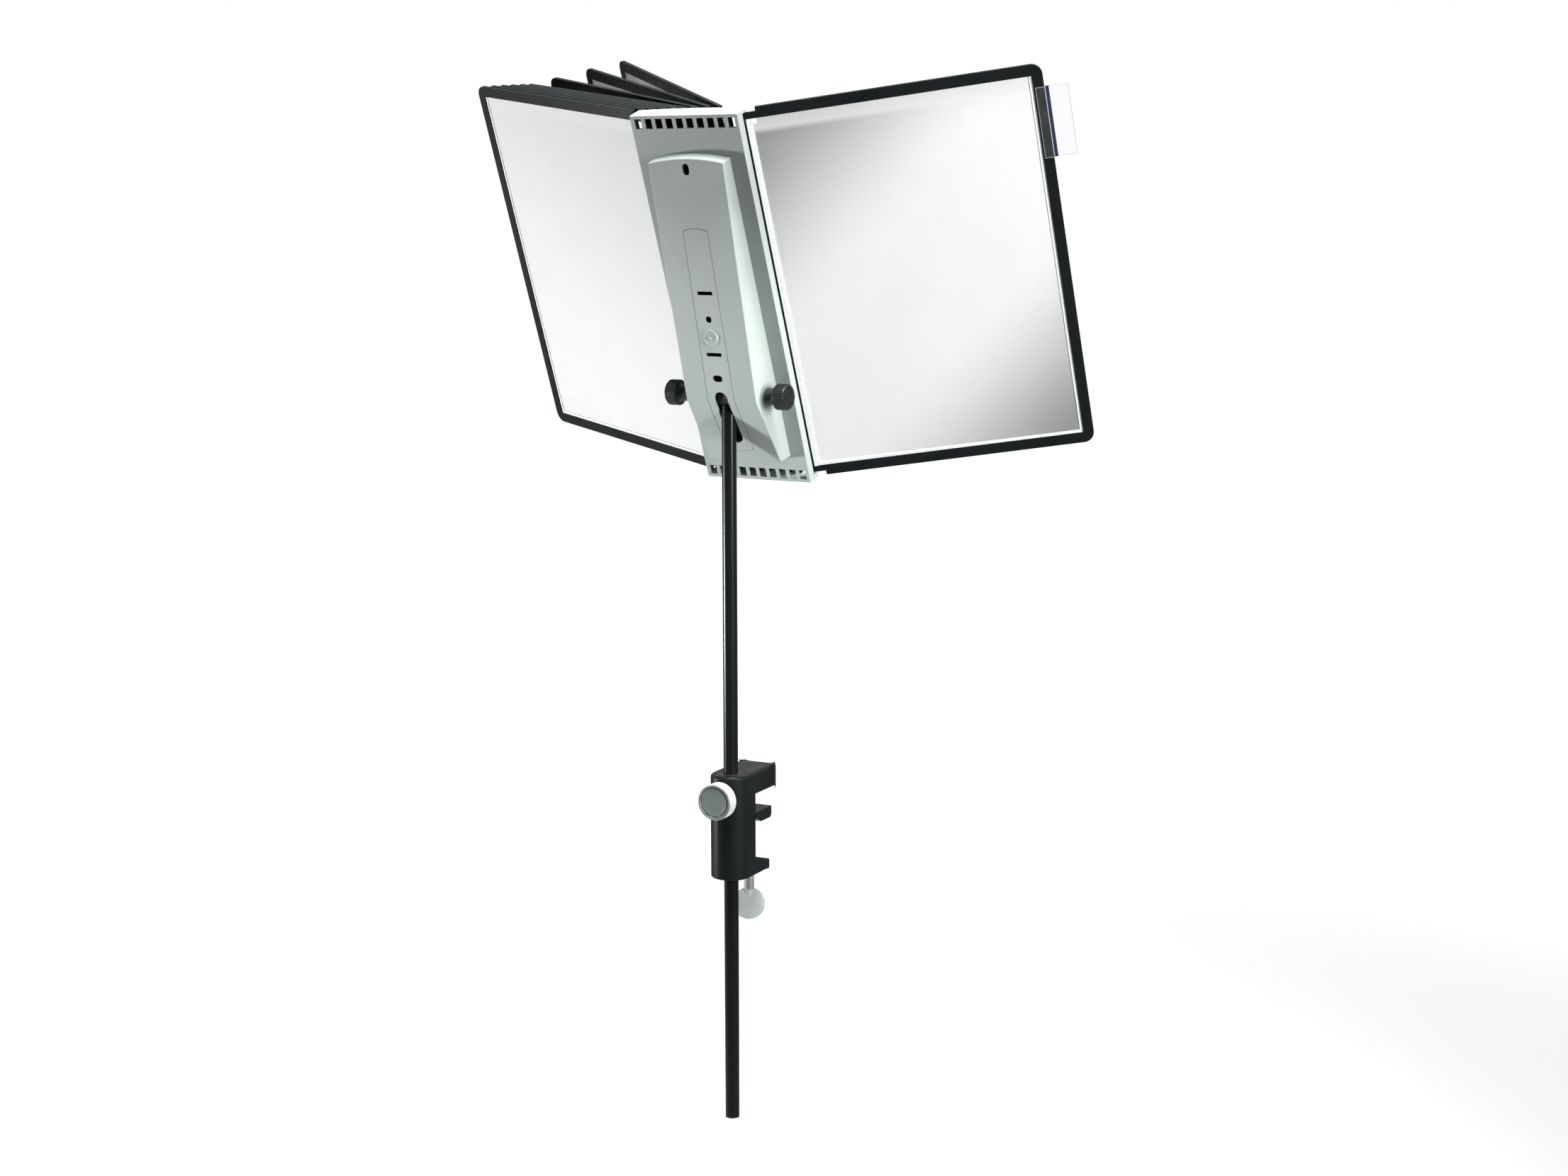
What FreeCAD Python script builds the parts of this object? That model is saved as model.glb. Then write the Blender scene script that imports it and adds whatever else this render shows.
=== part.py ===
import FreeCAD, Part
import os
import re
import Sketcher
from FreeCAD import Vector

# Desktop display panel system: ten hinged document leaves in a rail, on a
# tilting bracket, on a tube that turns and slides in a clamp on a desk's edge.
# Frame: +Z up, +Y into the desk, origin where the clamp screw's axis meets the
# desk's top surface. Millimetres and degrees.

SIZES = {
    # Clamp body. Heights are from the desk's top surface.
    "tubeOffset": 31.5,
    "clampWidth": 33.5,
    "spineBack": 12.5,
    "upperJawReach": 51.0,
    "upperJawThickness": 18.7,
    "clampDrop": 68.6,
    "lowerJawReach": 38.8,
    "lowerJawRootDrop": 53.6,
    "lowerJawTipDrop": 61.0,
    "jawEdgeRound": 3.0,
    "jawNoseChamfer": 2.0,
    # Running clearance of a shaft in its hole, and gap between sliding faces.
    "runClearance": 0.05,
    "slideGap": 0.3,
    # Bush, tube and tee.
    "tubeRadius": 6.0,
    "tubeWall": 1.5,
    "tubeDrop": 277.0,
    "tubeAboveTilt": 6.0,
    "bushWall": 2.0,
    "bushCollarRadius": 9.6,
    "bushCollarHeight": 2.0,
    "bushSlot": 1.2,
    "capDisc": 1.5,
    "capPlug": 9.0,
    "tiltHeight": 330.7,
    "teeHubRadius": 9.4,
    "teeHubHalf": 12.0,
    "teeArmRadius": 7.5,
    "teeArmEnd": 30.4,
    # Pressure jaw and its screw.
    "deskThickness": 15.6,
    "pressureReach": 40.5,
    "pressureRoot": 5.0,
    "pressureNose": 9.5,
    "pressureNoseStart": 22.0,
    "screwRadius": 5.0,
    "screwNeckRadius": 4.2,
    "screwSeat": 3.0,
    "clipThickness": 1.0,
    "clipHalfWidth": 6.5,
    "clipBack": 5.0,
    "clipFront": 7.5,
    "clipDrop": 5.5,
    "threadDrop": 82.0,
    "shankDrop": 90.0,
    "discRadius": 13.5,
    "discThickness": 3.4,
    "discCentreDrop": 99.9,
    "discRootHalf": 5.3,
    "discRootTop": 86.0,
    "discTurn": 24.0,
    # Lock knob: distances forward from the tube's axis.
    "lockHeight": 0.0,
    "lockScrewRadius": 4.0,
    "lockShoeLength": 3.4,
    "lockKnobBack": 17.8,
    "lockKnobFront": 30.0,
    "lockKnobRadius": 15.0,
    "lockRimWidth": 2.0,
    "lockGroove": 1.0,
    "lockCapThickness": 1.6,
    "lockCapRecess": 0.5,
    # Tilt knobs: distances outward from the tube's axis.
    "tiltStudRadius": 3.0,
    "tiltStudStart": 13.0,
    "tiltHubStart": 36.5,
    "tiltHubRadius": 6.75,
    "tiltHeadStart": 46.0,
    "tiltHeadEnd": 56.5,
    "tiltHeadRadius": 10.5,
    "tiltHeadChamfer": 1.0,
    # Head frame: leans back and is turned a little against the clamp.
    "headLean": 20.7,
    "headTurn": -4.4,
    # Panel rail, in the head frame: depth is along its Y, height along its Z.
    "railBack": 16.7,
    "railWidth": 99.2,
    "railLength": 313.0,
    "railDrop": 84.5,
    "railPlate": 2.5,
    "railSideDepth": 7.8,
    "railSideWall": 2.2,
    "flangeThickness": 2.8,
    "flangeDepthEnd": 14.0,
    "flangeCrown": 3.0,
    "windowWidth": 7.0,
    "windowHeight": 7.9,
    "leafPitch": 9.56,
    "pivotSetback": 2.8,
    "pegRadius": 1.5,
    "prismFaces": 12,
    "socketDepth": 2.0,
    "socketNeck": 2.5,
    # Bracket cover.
    "coverWall": 2.5,
    "coverHalfWidth": 35.6,
    "coverTop": 194.0,
    "coverTopCrown": 3.8,
    "coverDrop": 61.0,
    "coverBottomCrown": 4.6,
    "coverDraft": 5.0,
    "coverBendDepth": 29.4,
    "coverUpperSlope": 0.0995,
    "coverLowerSlope": 0.2655,
    "coverBossHalf": 8.0,
    "insertThickness": 1.2,
    "insertGap": 0.25,
    "insertHalfWidth": 11.2,
    "insertFlare": 1.6,
    "insertTop": 139.3,
    "insertBottom": 47.0,
    "insertCrown": 1.8,
    "tubeSlotHalf": 6.5,
    "tubeSlotTop": 7.4,
    "tubeSlotBottom": 42.0,
    "levelHoleHeight": 18.7,
    "levelHoleHalf": 1.85,
    "levelHoleRadius": 2.65,
    "lowSlotHeight": 38.7,
    "highSlotHeight": 89.2,
    "slotHalfWidth": 7.0,
    "slotHalfHeight": 1.5,
    "roundHoleHeight": 67.7,
    "roundHoleRadius": 2.7,
    "uprightHoleHeight": 188.2,
    "uprightHoleRadius": 2.9,
    "uprightHoleHalf": 4.5,
    "hookX": 24.0,
    "hookTop": 170.0,
    "hookBottom": 40.0,
    "hookWidth": 8.0,
    "hookThickness": 2.0,
    "hookCatch": 1.4,
    # Leaves, in a leaf's own frame: X runs out from the pivot.
    "leafReach": 233.4,
    "leafEndGap": 0.2,
    "leafThickness": 2.8,
    "leafSpineBack": 2.8,
    "leafCornerRadius": 8.5,
    "leafStepLength": 13.6,
    "leafStepDepth": 3.6,
    "windowStart": 8.1,
    "leafOuterBar": 8.2,
    "leafBar": 8.7,
    "filmThickness": 0.35,
    "pocketGap": 0.3,
    "weldWidth": 2.4,
    "frontFilmDrop": 9.5,
    "notchHalfWidth": 9.0,
    "notchDepth": 7.0,
    "notchOffset": 5.65,
    "sheetThickness": 0.2,
    "sheetInnerMargin": 5.1,
    "sheetOuterMargin": 2.0,
    "sheetRise": 2.3,
    "sheetTopInset": 4.6,
    "sheetClearance": 0.2,
    "parallelAngle": 19.5,
    "leafSevenAngle": 23.8,
    "leafEightAngle": 30.2,
    "leafNineAngle": 35.9,
    "leafTenAngle": 156.8,
    # Index tab on the tenth leaf.
    "tabTopInset": 18.0,
    "tabLength": 55.7,
    "tabGrip": 6.8,
    "tabWall": 0.7,
    "tabFlag": 18.0,
    "tabFlagThickness": 0.8,
}

LEAVES = 10

doc = FreeCAD.newDocument("DisplayPanelSystem")
nodes = []


def makeSheet():
    sheet = doc.addObject("Spreadsheet::Sheet", "Sizes")
    for row, (name, value) in enumerate(SIZES.items(), start=1):
        sheet.set(f"A{row}", name)
        sheet.set(f"B{row}", str(value))
        sheet.setAlias(f"B{row}", name)
    doc.recompute()
    return sheet


sheet = makeSheet()
sizeName = re.compile(r"\b(" + "|".join(SIZES) + r")\b")


def formula(text):
    return sizeName.sub(r"Sizes.\1", str(text))


def number(text):
    return float(sheet.evalExpression(formula(text)))


def bind(thing, **formulas):
    for name, text in formulas.items():
        thing.setExpression(name, formula(text))


def moveTo(thing, x, y, z):
    for axis, text in zip("xyz", (x, y, z)):
        thing.setExpression(f"Placement.Base.{axis}", formula(text))


# Where the groups of pieces stand, as placement formulas.
AT_TUBE = "placement(vector(0; -tubeOffset; 0); rotation(vector(0; 0; 1); 0))"
AT_LOCK = "placement(vector(0; -tubeOffset; lockHeight); rotation(vector(1; 0; 0); 90))"
AT_TILT = "placement(vector(0; -tubeOffset; tiltHeight); rotation(vector(0; 0; 1); headTurn))"
LEAN = "placement(vector(0; 0; 0); rotation(vector(1; 0; 0); headLean))"
AT_HEAD = f"{AT_TILT} * {LEAN}"
ALONG_X = "placement(vector(0; 0; 0); rotation(vector(0; 1; 0); 90))"
ALONG_BACK_X = "placement(vector(0; 0; 0); rotation(vector(0; 1; 0); -90))"


def node(thing, label, place=None):
    thing.Label = label
    if place:
        thing.setExpression("Placement", formula(place))
    nodes.append(thing)
    return thing


# Sketches, pads and turned bodies.


def newBody(name):
    return doc.addObject("PartDesign::Body", name)


def sketchOn(body, role, offset="0"):
    sketch = body.newObject("Sketcher::SketchObject", "Sketch")
    plane = next(f for f in body.Origin.OriginFeatures if f.Role == role)
    sketch.AttachmentSupport = [(plane, "")]
    sketch.MapMode = "FlatFace"
    sketch.setExpression("AttachmentOffset.Base.z", formula(offset))
    return sketch


def hold(sketch, kind, place, text):
    index = sketch.addConstraint(Sketcher.Constraint(kind, *place, number(text)))
    sketch.setExpression(f"Constraints[{index}]", formula(text))


def arcThrough(start, end, sagitta):
    middle = (start + end) * 0.5
    along = end - start
    aside = Vector(along.y, -along.x, 0).normalize()
    return Part.Arc(start, middle + aside * sagitta, end)


def outline(sketch, points):
    # A point is (x, y) or (x, y, sagitta): the edge that leaves it is then an
    # arc, which bulges to the right of the way round.
    places = [Vector(number(p[0]), number(p[1]), 0) for p in points]
    edges = []
    for index, point in enumerate(points):
        start = places[index]
        end = places[(index + 1) % len(points)]
        if len(point) == 3:
            edge = sketch.addGeometry(arcThrough(start, end, number(point[2])))
            isTurned = sketch.getPoint(edge, 1).distanceToPoint(start) > 1e-6
            edges.append((edge, 2, 1) if isTurned else (edge, 1, 2))
        else:
            edge = sketch.addGeometry(Part.LineSegment(start, end))
            edges.append((edge, 1, 2))
    for index, (edge, first, last) in enumerate(edges):
        following = edges[(index + 1) % len(edges)]
        joint = Sketcher.Constraint("Coincident", edge, last, following[0], following[1])
        sketch.addConstraint(joint)
        point = points[index]
        hold(sketch, "DistanceX", (edge, first), point[0])
        hold(sketch, "DistanceY", (edge, first), point[1])
        if len(point) == 3:
            holdCentre(sketch, edge, point, points[(index + 1) % len(points)])


def holdCentre(sketch, edge, start, end):
    # The ends are held already, so one coordinate of the centre is enough.
    run = f"(({end[0]}) - ({start[0]}))"
    rise = f"(({end[1]}) - ({start[1]}))"
    chord = f"sqrt({run}^2 + {rise}^2)"
    back = f"(({chord}^2 / 4 - ({start[2]})^2) / (2 * ({start[2]})))"
    if abs(number(rise)) > abs(number(run)):
        centre = f"(({start[0]}) + ({end[0]})) / 2 - {rise} / {chord} * {back}"
        hold(sketch, "DistanceX", (edge, 3), centre)
    else:
        centre = f"(({start[1]}) + ({end[1]})) / 2 + {run} / {chord} * {back}"
        hold(sketch, "DistanceY", (edge, 3), centre)


def rectangle(sketch, left, bottom, right, top):
    outline(sketch, [(left, bottom), (right, bottom), (right, top), (left, top)])


def oblong(sketch, x, y, halfWidth, halfHeight):
    # Upright, with half-round ends.
    straight = f"({halfHeight} - {halfWidth})"
    outline(sketch, [
        (f"{x} + {halfWidth}", f"{y} - {straight}"),
        (f"{x} + {halfWidth}", f"{y} + {straight}", halfWidth),
        (f"{x} - {halfWidth}", f"{y} + {straight}"),
        (f"{x} - {halfWidth}", f"{y} - {straight}", halfWidth),
    ])


def pad(body, sketch, length, isSymmetric=False, isReversed=False, taper=None):
    feature = body.newObject("PartDesign::Pad", "Pad")
    feature.Profile = sketch
    if isSymmetric:
        feature.SideType = "Symmetric"
    feature.Reversed = isReversed
    bind(feature, Length=length)
    if taper:
        bind(feature, TaperAngle=taper)
    body.Tip = feature
    return feature


def padded(name, role, points, length, offset="0", **how):
    body = newBody(name)
    sketch = sketchOn(body, role, offset)
    outline(sketch, points)
    pad(body, sketch, length, **how)
    return body


def turned(name, profile):
    # Revolved about Z. The profile's points are (radius, height).
    body = newBody(name)
    sketch = sketchOn(body, "XZ_Plane")
    outline(sketch, profile)
    feature = body.newObject("PartDesign::Revolution", "Revolution")
    feature.Profile = sketch
    feature.ReferenceAxis = (sketch, ["V_Axis"])
    feature.Angle = 360
    body.Tip = feature
    return body


def disc(radius, bottom, top):
    return [("0", bottom), (radius, bottom), (radius, top), ("0", top)]


def ring(inner, outer, bottom, top):
    return [(inner, bottom), (outer, bottom), (outer, top), (inner, top)]


def edgeNames(feature, chooses):
    doc.recompute()
    edges = enumerate(feature.Shape.Edges, start=1)
    return [f"Edge{index}" for index, edge in edges if chooses(edge)]


def fillet(body, radius, chooses):
    base = body.Tip
    names = edgeNames(base, chooses)
    feature = body.newObject("PartDesign::Fillet", "Fillet")
    feature.Base = (base, names)
    bind(feature, Radius=radius)
    body.Tip = feature


# Booleans.


def box(x, y, z, length, width, height):
    piece = doc.addObject("Part::Box", "Box")
    bind(piece, Length=length, Width=width, Height=height)
    moveTo(piece, x, y, z)
    return piece


def cylinder(radius, height, x, y, z, axis=None):
    piece = doc.addObject("Part::Cylinder", "Cylinder")
    bind(piece, Radius=radius, Height=height)
    if axis:
        turn = FreeCAD.Rotation(Vector(0, 0, 1), Vector(*axis))
        piece.Placement.Rotation = turn
    moveTo(piece, x, y, z)
    return piece


def prism(radius, height, bottom, axis=None):
    # A shaft with flats, along Z or along the given axis.
    piece = doc.addObject("Part::Prism", "Prism")
    bind(piece, Circumradius=radius, Polygon="prismFaces", Height=height)
    if axis:
        piece.Placement.Rotation = FreeCAD.Rotation(Vector(0, 0, 1), Vector(*axis))
        moveTo(piece, bottom, "0", "0")
    else:
        moveTo(piece, "0", "0", bottom)
    return piece


def join(*pieces):
    fused = doc.addObject("Part::MultiFuse", "Join")
    fused.Shapes = list(pieces)
    fused.Refine = True
    return fused


def cut(base, *tools):
    result = doc.addObject("Part::Cut", "Cut")
    result.Base = base
    result.Tool = tools[0] if len(tools) == 1 else join(*tools)
    result.Refine = True
    return result


def common(*pieces):
    result = doc.addObject("Part::MultiCommon", "Common")
    result.Shapes = list(pieces)
    result.Refine = True
    return result


# The clamp. Its pieces stand in the object's own frame.

SEAT_Y = "(spineBack - tubeOffset)"


def clampBody():
    half = "clampWidth / 2"
    spine = padded("ClampSpine", "XY_Plane", [
        (f"-{half}", SEAT_Y),
        (f"-{half}", "-tubeOffset", half),
        (half, "-tubeOffset"),
        (half, SEAT_Y),
    ], "clampDrop + upperJawThickness", offset="-clampDrop")
    jaws = padded("ClampJaws", "YZ_Plane", [
        ("-tubeOffset", "0"),
        ("upperJawReach - tubeOffset - jawNoseChamfer", "0"),
        ("upperJawReach - tubeOffset", "jawNoseChamfer"),
        ("upperJawReach - tubeOffset", "upperJawThickness"),
        ("-tubeOffset", "upperJawThickness"),
    ], "clampWidth", isSymmetric=True)
    lower = padded("ClampLowerJaw", "YZ_Plane", [
        ("-tubeOffset", "-clampDrop"),
        ("lowerJawReach - tubeOffset", "-clampDrop"),
        ("lowerJawReach - tubeOffset", "-lowerJawTipDrop"),
        (SEAT_Y, "-lowerJawRootDrop"),
        ("-tubeOffset", "-lowerJawRootDrop"),
    ], "clampWidth", isSymmetric=True)
    fillet(jaws, "jawEdgeRound", lambda e: isNoseUpright(e, number("upperJawReach - tubeOffset")))
    fillet(lower, "jawEdgeRound", lambda e: isNoseUpright(e, number("lowerJawReach - tubeOffset")))
    whole = join(spine, jaws, lower)
    bore = "tubeRadius + bushWall + 2 * runClearance"
    return cut(
        whole,
        cylinder(bore, "clampDrop + upperJawThickness + 2", "0", "-tubeOffset", "-clampDrop - 1"),
        cylinder("bushCollarRadius + runClearance", "bushCollarHeight + 1", "0", "-tubeOffset",
                 "upperJawThickness - bushCollarHeight"),
        cylinder("lockScrewRadius + runClearance", "clampWidth", "0", "-tubeOffset", "lockHeight",
                 axis=(0, -1, 0)),
        cylinder("screwRadius + runClearance", "clampDrop", "0", "0", "-clampDrop - 11"),
    )


def isNoseUpright(edge, nose):
    box = edge.BoundBox
    return box.YMin > nose - 0.01 and box.ZLength > 1 and box.XLength < 1


def poleBush():
    inner = "tubeRadius + runClearance"
    outer = "tubeRadius + bushWall"
    top = "upperJawThickness"
    shell = turned("BushShell", [
        (inner, "-clampDrop"),
        (outer, "-clampDrop"),
        (outer, f"{top} - bushCollarHeight"),
        ("bushCollarRadius", f"{top} - bushCollarHeight"),
        ("bushCollarRadius", top),
        (inner, top),
    ])
    split = box("-bushSlot / 2", "0", "-clampDrop - 1", "bushSlot", "bushCollarRadius + 1",
                "clampDrop + upperJawThickness + 2")
    return cut(shell, split)


def poleTube():
    return turned("TubeShell", ring("tubeRadius - tubeWall", "tubeRadius", "-tubeDrop + capDisc",
                                    "tiltHeight + tubeAboveTilt"))


def poleEndCap():
    return turned("EndCap", [
        ("0", "-tubeDrop"),
        ("tubeRadius", "-tubeDrop"),
        ("tubeRadius", "-tubeDrop + capDisc"),
        ("tubeRadius - tubeWall", "-tubeDrop + capDisc"),
        ("tubeRadius - tubeWall", "-tubeDrop + capDisc + capPlug"),
        ("0", "-tubeDrop + capDisc + capPlug"),
    ])


def pressureJaw():
    front = f"{SEAT_Y} + slideGap"
    plate = padded("JawPlate", "YZ_Plane", [
        (front, "-deskThickness - pressureRoot"),
        ("pressureNoseStart - tubeOffset", "-deskThickness - pressureNose"),
        ("pressureReach - tubeOffset - jawNoseChamfer", "-deskThickness - pressureNose"),
        ("pressureReach - tubeOffset", "-deskThickness - pressureNose + jawNoseChamfer"),
        ("pressureReach - tubeOffset", "-deskThickness"),
        (front, "-deskThickness"),
    ], "clampWidth", isSymmetric=True)
    seat = "-deskThickness - screwSeat"
    half = "(clipHalfWidth + runClearance)"
    return cut(
        plate,
        cylinder("screwRadius + runClearance", "pressureNose", "0", "0", f"{seat} - pressureNose"),
        box(f"-{half}", "-clipBack - runClearance", f"-deskThickness - clipDrop - runClearance",
            f"2 * {half}", "clipBack + pressureReach", "clipThickness + 2 * runClearance"),
    )


def clampSpindle():
    top = "-deskThickness - screwSeat - runClearance"
    clip = "-deskThickness - clipDrop"
    return turned("Spindle", [
        ("0", "-shankDrop"),
        ("screwNeckRadius", "-shankDrop"),
        ("screwNeckRadius", "-threadDrop"),
        ("screwRadius", "-threadDrop"),
        ("screwRadius", clip),
        ("screwNeckRadius", clip),
        ("screwNeckRadius", f"{clip} + clipThickness"),
        ("screwRadius", f"{clip} + clipThickness"),
        ("screwRadius", top),
        ("0", top),
    ])


def spindleClip():
    # A forked plate that slides round the screw's neck from the jaw's tip.
    clip = "-deskThickness - clipDrop"
    plate = box("-clipHalfWidth", "-clipBack", clip, "2 * clipHalfWidth",
                "clipBack + clipFront", "clipThickness")
    half = "(screwNeckRadius + runClearance)"
    slot = box(f"-{half}", "-clipBack - 1", f"{clip} - 1", f"2 * {half}", f"clipBack + 1 + {half}",
               "clipThickness + 2")
    return cut(plate, slot)


def thumbDisc():
    plate = cylinder("discRadius", "discThickness", "0", "-discThickness / 2", "-discCentreDrop",
                     axis=(0, 1, 0))
    root = padded("DiscRoot", "XZ_Plane", [
        ("discRootHalf", "-discRootTop"),
        ("-discRootHalf", "-discRootTop"),
        ("-discRootHalf", "-shankDrop - 1"),
        ("-discThickness / 2", "-discCentreDrop"),
        ("discThickness / 2", "-discCentreDrop"),
        ("discRootHalf", "-shankDrop - 1"),
    ], "2 * discRootHalf", isSymmetric=True)
    socket = cylinder("screwNeckRadius", "shankDrop", "0", "0", "-shankDrop")
    return cut(join(plate, root), socket)


# The lock: turned pieces on the axis that runs forward from the tube.

LOCK_FACE = "(tubeRadius + bushWall + 2 * runClearance)"


def lockShoe():
    blank = cylinder("lockScrewRadius", "lockShoeLength + 3", "0", "0", f"{LOCK_FACE} - 3")
    seat = cylinder(f"{LOCK_FACE} + runClearance", "clampWidth", "0", "clampWidth / 2", "0",
                    axis=(0, -1, 0))
    return cut(blank, seat)


def lockScrew():
    start = f"{LOCK_FACE} + lockShoeLength"
    return turned("LockScrew", [
        ("0", start),
        ("lockScrewRadius", start),
        ("lockScrewRadius", "lockKnobBack"),
        ("0", "lockKnobBack"),
    ])


def lockKnob():
    rim = "lockKnobRadius - lockRimWidth"
    floor = "lockKnobFront - lockCapRecess - lockCapThickness"
    return turned("LockKnob", [
        ("0", "lockKnobBack"),
        ("lockKnobRadius", "lockKnobBack"),
        ("lockKnobRadius", "lockKnobFront"),
        (rim, "lockKnobFront"),
        (rim, floor),
        ("0", floor),
    ])


def lockKnobCap():
    return turned("LockCap", disc(
        "lockKnobRadius - lockRimWidth - lockGroove",
        "lockKnobFront - lockCapRecess - lockCapThickness",
        "lockKnobFront - lockCapRecess",
    ))


# The tilt joint: pieces about the tilt axis.


def tiltTee():
    arms = prism("teeArmRadius", "2 * teeArmEnd", "-teeArmEnd", axis=(1, 0, 0))
    hub = prism("teeHubRadius", "2 * teeHubHalf", "-teeHubHalf", axis=(1, 0, 0))
    whole = join(arms, hub)
    return cut(
        whole,
        cylinder("tubeRadius", "tubeAboveTilt + 20", "0", "0", "-20"),
        cylinder("tiltStudRadius + runClearance", "teeArmEnd", "tiltStudStart - 0.5", "0", "0",
                 axis=(1, 0, 0)),
        cylinder("tiltStudRadius + runClearance", "teeArmEnd", "0.5 - tiltStudStart", "0", "0",
                 axis=(-1, 0, 0)),
    )


def tiltStud():
    return turned("Stud", disc("tiltStudRadius", "tiltStudStart", "tiltHubStart"))


def tiltKnob():
    return turned("TiltKnob", [
        ("0", "tiltHubStart"),
        ("tiltHubRadius", "tiltHubStart"),
        ("tiltHubRadius", "tiltHeadStart"),
        ("tiltHeadRadius", "tiltHeadStart"),
        ("tiltHeadRadius", "tiltHeadEnd - tiltHeadChamfer"),
        ("tiltHeadRadius - tiltHeadChamfer", "tiltHeadEnd"),
        ("0", "tiltHeadEnd"),
    ])


# The head: rail, bracket cover and insert, in the head frame.

RAIL_TOP = "(railLength - railDrop)"
HALF_RAIL = "(railWidth / 2)"


def pivotX(leaf):
    return f"(leafPitch * ({leaf} - {LEAVES + 1} / 2))"


def pivotY(leaf):
    # The pivots follow the crowned front edge of the flanges.
    edge = f"(railBack + flangeDepthEnd + flangeCrown * (1 - ({pivotX(leaf)} / {HALF_RAIL})^2))"
    return f"({edge} - pivotSetback)"


def railFlange(name, bottom):
    return padded(name, "XY_Plane", [
        (HALF_RAIL, "railBack"),
        (HALF_RAIL, "railBack + flangeDepthEnd", "flangeCrown"),
        (f"-{HALF_RAIL}", "railBack + flangeDepthEnd"),
        (f"-{HALF_RAIL}", "railBack"),
    ], "flangeThickness", offset=bottom)


def panelRail():
    plate = box(f"-{HALF_RAIL}", "railBack", "-railDrop", "railWidth", "railPlate", "railLength")
    left = box(f"-{HALF_RAIL}", "railBack", "-railDrop", "railSideWall", "railSideDepth",
               "railLength")
    right = box(f"{HALF_RAIL} - railSideWall", "railBack", "-railDrop", "railSideWall",
                "railSideDepth", "railLength")
    top = railFlange("RailTop", f"{RAIL_TOP} - flangeThickness")
    bottom = railFlange("RailBottom", "-railDrop")
    whole = join(plate, left, right, top, bottom)
    tools = []
    for leaf in range(1, LEAVES + 1):
        for low in (f"{RAIL_TOP} - flangeThickness - windowHeight", "-railDrop + flangeThickness"):
            tools.append(box(f"{pivotX(leaf)} - windowWidth / 2", "railBack - 1", low,
                             "windowWidth", "railPlate + 2", "windowHeight"))
        tools.append(pegSocket(leaf, f"{RAIL_TOP} - flangeThickness - 1"))
        tools.append(pegSocket(leaf, "-railDrop + flangeThickness - socketDepth"))
    for x, z in hookPlaces():
        tools.append(box(f"{x} - hookWidth / 2 - 0.2", "railBack - 1",
                         f"{z} - hookThickness / 2 - 0.2", "hookWidth + 0.4", "railPlate + 2",
                         "hookThickness + hookCatch + 0.4"))
    return cut(whole, *tools)


def pegSocket(leaf, bottom):
    # Open to the front through a neck narrower than the peg, which snaps in.
    x = pivotX(leaf)
    y = pivotY(leaf)
    seat = "(pegRadius + runClearance)"
    neck = "(socketNeck / 2)"
    return padded("PegSocket", "XY_Plane", [
        (f"{x} - {seat}", f"{y} - {seat}"),
        (f"{x} + {seat}", f"{y} - {seat}"),
        (f"{x} + {seat}", f"{y} + pegRadius / 2"),
        (f"{x} + {neck}", f"{y} + pegRadius"),
        (f"{x} + {neck}", f"{y} + pivotSetback + 2"),
        (f"{x} - {neck}", f"{y} + pivotSetback + 2"),
        (f"{x} - {neck}", f"{y} + pegRadius"),
        (f"{x} - {seat}", f"{y} + pegRadius / 2"),
    ], "socketDepth + 1", offset=bottom)


def hookPlaces():
    return [(x, z) for x in ("-hookX", "hookX") for z in ("hookTop", "-hookBottom")]


def coverHook(x, z):
    # A leg through the rail's plate, with a catch over the plate's front face.
    reach = "(railBack + railPlate + runClearance)"
    leg = box(f"{x} - hookWidth / 2", BEND_Y, f"{z} - hookThickness / 2", "hookWidth",
              f"{reach} + hookCatch - {BEND_Y}", "hookThickness")
    catch = box(f"{x} - hookWidth / 2", reach, f"{z} - hookThickness / 2", "hookWidth",
                "hookCatch", "hookThickness + hookCatch")
    return [leg, catch]


BEND_Y = "(railBack - coverBendDepth)"


def coverBlock(name, inset):
    # A drafted block cut to the two sloping faces that meet in the bend.
    side = f"(coverHalfWidth - {inset})"
    shape = padded(name, "XZ_Plane", [
        (side, f"-coverDrop + {inset}"),
        (side, f"coverTop - {inset}", "coverTopCrown"),
        (f"-{side}", f"coverTop - {inset}"),
        (f"-{side}", f"-coverDrop + {inset}", "coverBottomCrown"),
    ], "coverBendDepth + 10", offset="-railBack", taper="-coverDraft")
    faces = padded(name + "Faces", "YZ_Plane", [
        ("railBack", "-coverDrop - 30"),
        ("railBack", "coverTop + 30"),
        (f"{BEND_Y} + {inset} + (coverTop + 30) * coverUpperSlope", "coverTop + 30"),
        (f"{BEND_Y} + {inset}", "0"),
        (f"{BEND_Y} + {inset} + (coverDrop + 30) * coverLowerSlope", "-coverDrop - 30"),
    ], "3 * coverHalfWidth", isSymmetric=True)
    return common(shape, faces)


def frontLayer(name, start, depth):
    # The skin of the two sloping faces, from start to start + depth inside them.
    top = "(insertTop + 20)"
    low = "(insertBottom + 20)"
    lines = []
    for inset in (start, f"({start} + {depth})"):
        lines.append([
            (f"{BEND_Y} + {inset} + {top} * coverUpperSlope", top),
            (f"{BEND_Y} + {inset}", "0"),
            (f"{BEND_Y} + {inset} + {low} * coverLowerSlope", f"-{low}"),
        ])
    return padded(name, "YZ_Plane", lines[0] + lines[1][::-1], "2 * coverHalfWidth",
                  isSymmetric=True)


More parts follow.
